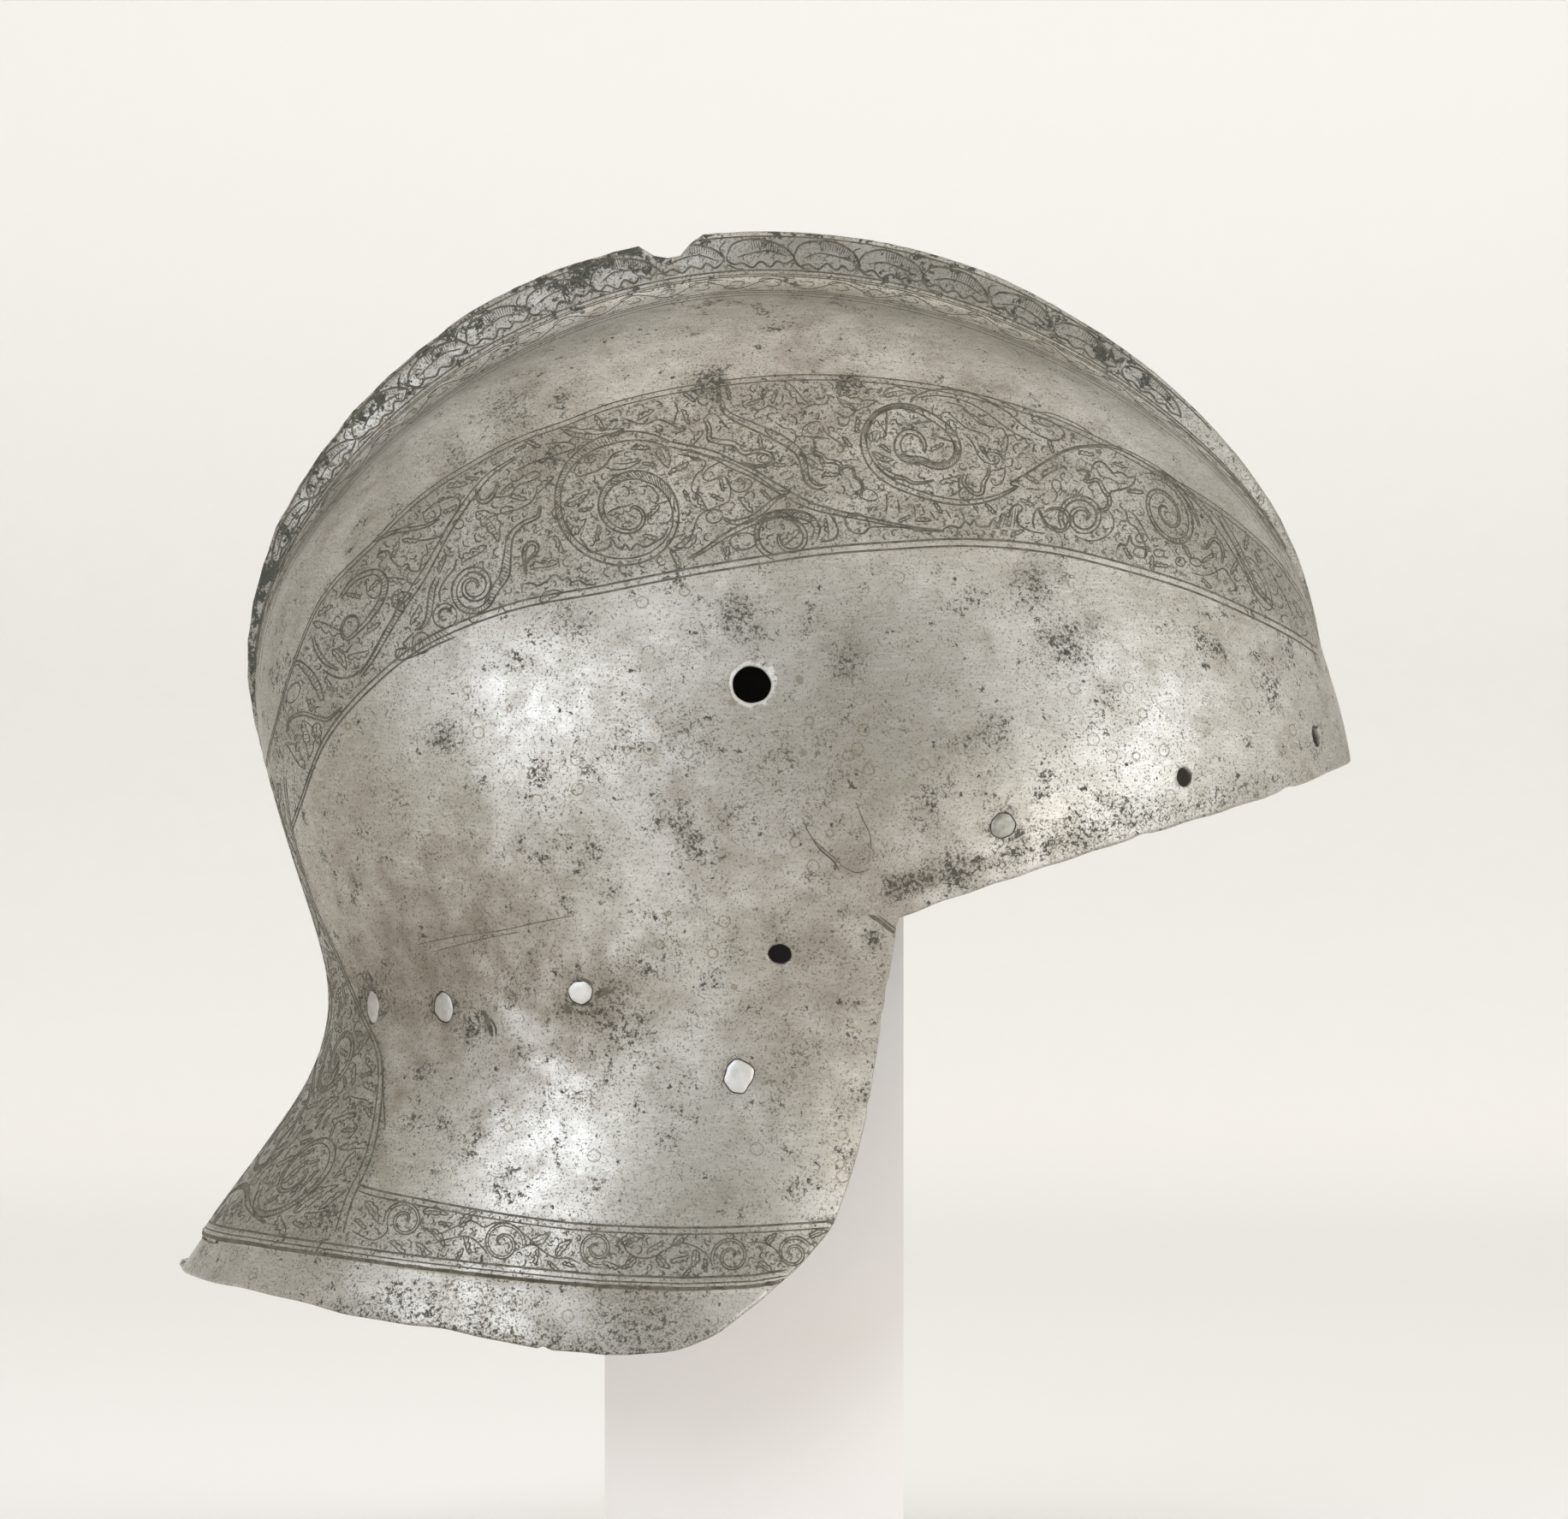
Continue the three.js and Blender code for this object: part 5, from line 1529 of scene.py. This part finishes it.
def cracks():
    """Cracks and deep dark scratches on the right side, in the side view."""
    pen = Pen()
    for text, width in (
            ("27 163.6 29 162.6 31 161 33 159.4 33.9 158.9", 1.0),
            ("29.4 163.4 31.4 161.8 33.2 160.4", 0.5),
            ("11.6 186.4 12.6 183.6 14.4 181 17 178.6 19.4 176.6 20.8 175", pen.FINE),
            ("13.4 182.2 15 179.8 16.2 178.4 18.6 176.4 20.2 174", pen.PLAIN),
            ("24 190 25.6 186 27.2 182.6 27.6 179", pen.FINE),
            ("20.8 175 24 173.6 27 174.2", pen.FINE),
            ("-37.4 144.7 -36 145.3 -34 146.3", 1.3),
            ("-37.3 143.7 -35 144.9 -32.6 146", 0.8),
            ("-44.4 142.6 -43.4 141.5 -42.2 141.2", 1.6),
            ("-45 141.6 -43.6 140.6 -42.6 140.4", 0.8),
            ("-40.6 148.5 -38.8 148 -37.8 146.9", 0.5),
            ("-64 140.6 -62.6 137.6 -61.8 134.6", 1.2),
            ("-62.4 139 -61 136.8 -60.8 134.4", 0.5),
            ("-80 156 -70 158.2 -60 159.6 -50 161.8 -42 163.4", pen.FINE),
            ("-76 154.4 -64 157.6 -55 159.4", pen.FINE),
            ("-92.6 149.6 -91.6 146.6 -92.4 144 -91.6 141", 0.8),
            ("-95.6 147.6 -94.4 148.6 -93.4 146.8 -92.6 149.6", 0.6),
            ("-89 128 -88.2 120 -87.6 112", pen.PLAIN)):
        pen.line(text, width)
    return pen.lines


etch("cracks_right", cracks(), from_side(RIGHT))

# ------------------------------------------------------------------ post, floor, light and camera

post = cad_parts["display_post"]
post.data.materials.clear()
post.data.materials.append(POST_PAINT)


def sweep():
    """A floor that runs up into a wall behind, in one curved sheet."""
    reach, wall, bend, high, steps = 6.0, 2.3, 0.9, 4.2, 12
    profile = [(-reach, 0.0), (wall, 0.0)]
    for i in range(1, steps + 1):
        a = math.pi / 2 * i / steps
        profile.append((wall + bend * math.sin(a), bend - bend * math.cos(a)))
    profile.append((wall + bend, high))
    points = [(x, y, z - 0.0005) for y, z in profile for x in (-reach, reach)]
    faces = [[2 * i, 2 * i + 1, 2 * i + 3, 2 * i + 2] for i in range(len(profile) - 1)]
    obj = mesh_object("studio_sweep", points, faces, backdrop_material(), 1.0)
    shade(obj)


def area_light(name, place, aim, size, power, colour, spread=180):
    """A softbox, in metres and watts."""
    light = bpy.data.lights.new(name, "AREA")
    light.shape = "RECTANGLE"
    light.size, light.size_y = size
    light.energy = power
    light.color = colour
    light.spread = math.radians(spread)
    obj = bpy.data.objects.new(name, light)
    obj.location = place
    obj.rotation_euler = (Vector(aim) - Vector(place)).to_track_quat("-Z", "Y").to_euler()
    bpy.context.scene.collection.objects.link(obj)


sweep()
area_light("left_softbox", (-0.87, -1.1, 0.45), (0, 0, 0.2), (0.35, 0.8), 3.2, (0.80, 0.88, 1.0))
area_light("upper_left_softbox", (-0.5, -1.25, 0.66), (0, 0, 0.15), (0.3, 0.45), 2.9, (0.83, 0.90, 1.0))
area_light("right_softbox", (1.2, -0.75, 0.42), (0, 0, 0.19), (0.65, 1.0), 5.2, (0.82, 0.89, 1.0))
area_light("low_right_softbox", (0.95, -1.35, 0.02), (0.02, -0.04, 0.12), (0.5, 0.5), 4.4, (1.0, 0.965, 0.93))
area_light("overhead_softbox", (0.0, -0.3, 1.9), (0, 0, 0.2), (1.8, 1.4), 4.1, (1.0, 0.95, 0.91))
for where, power in ((-1.5, 3.05), (1.5, 4.4)):
    area_light(f"backdrop_light_{int(where * 2)}", (where, 1.6, 1.2), (where * -0.1, 2.9, 1.1), (0.7, 1.4),
               power, (1.0, 0.975, 0.955), 110)

# the studio is brighter on the helmet's front side than behind it, and dark behind the camera
world = bpy.data.worlds.new("studio")
world.use_nodes = True
tree = world.node_tree
sky = tree.nodes["Background"]
sky.inputs["Color"].default_value = (1.0, 0.98, 0.95, 1)
direction = tree.nodes.new("ShaderNodeSeparateXYZ")
tree.links.new(tree.nodes.new("ShaderNodeTexCoord").outputs["Generated"], direction.inputs[0])


def sky_share(axis, last, low, high):
    """A strength that changes evenly along an axis, from -1 to a last place."""
    node = tree.nodes.new("ShaderNodeMapRange")
    for key, value in (("From Min", -1.0), ("From Max", last), ("To Min", low), ("To Max", high)):
        node.inputs[key].default_value = value
    tree.links.new(direction.outputs[axis], node.inputs["Value"])
    return node.outputs["Result"]


both = tree.nodes.new("ShaderNodeMath")
both.operation = "MULTIPLY"
tree.links.new(sky_share("X", 1.0, 0.74, 1.08), both.inputs[0])
tree.links.new(sky_share("Y", -0.45, 0.26, 1.0), both.inputs[1])
tree.links.new(both.outputs[0], sky.inputs["Strength"])
bpy.context.scene.world = world
bpy.context.scene.view_settings.view_transform = "Standard"

camera_data = bpy.data.cameras.new("camera")
camera_data.sensor_width, camera_data.lens = 36, 187.1
camera_data.clip_end = 20
camera = bpy.data.objects.new("camera", camera_data)
camera.location = (0.0072, -2.0, 0.200)
camera.rotation_euler = (math.pi / 2, 0, 0)
bpy.context.scene.collection.objects.link(camera)
bpy.context.scene.camera = camera
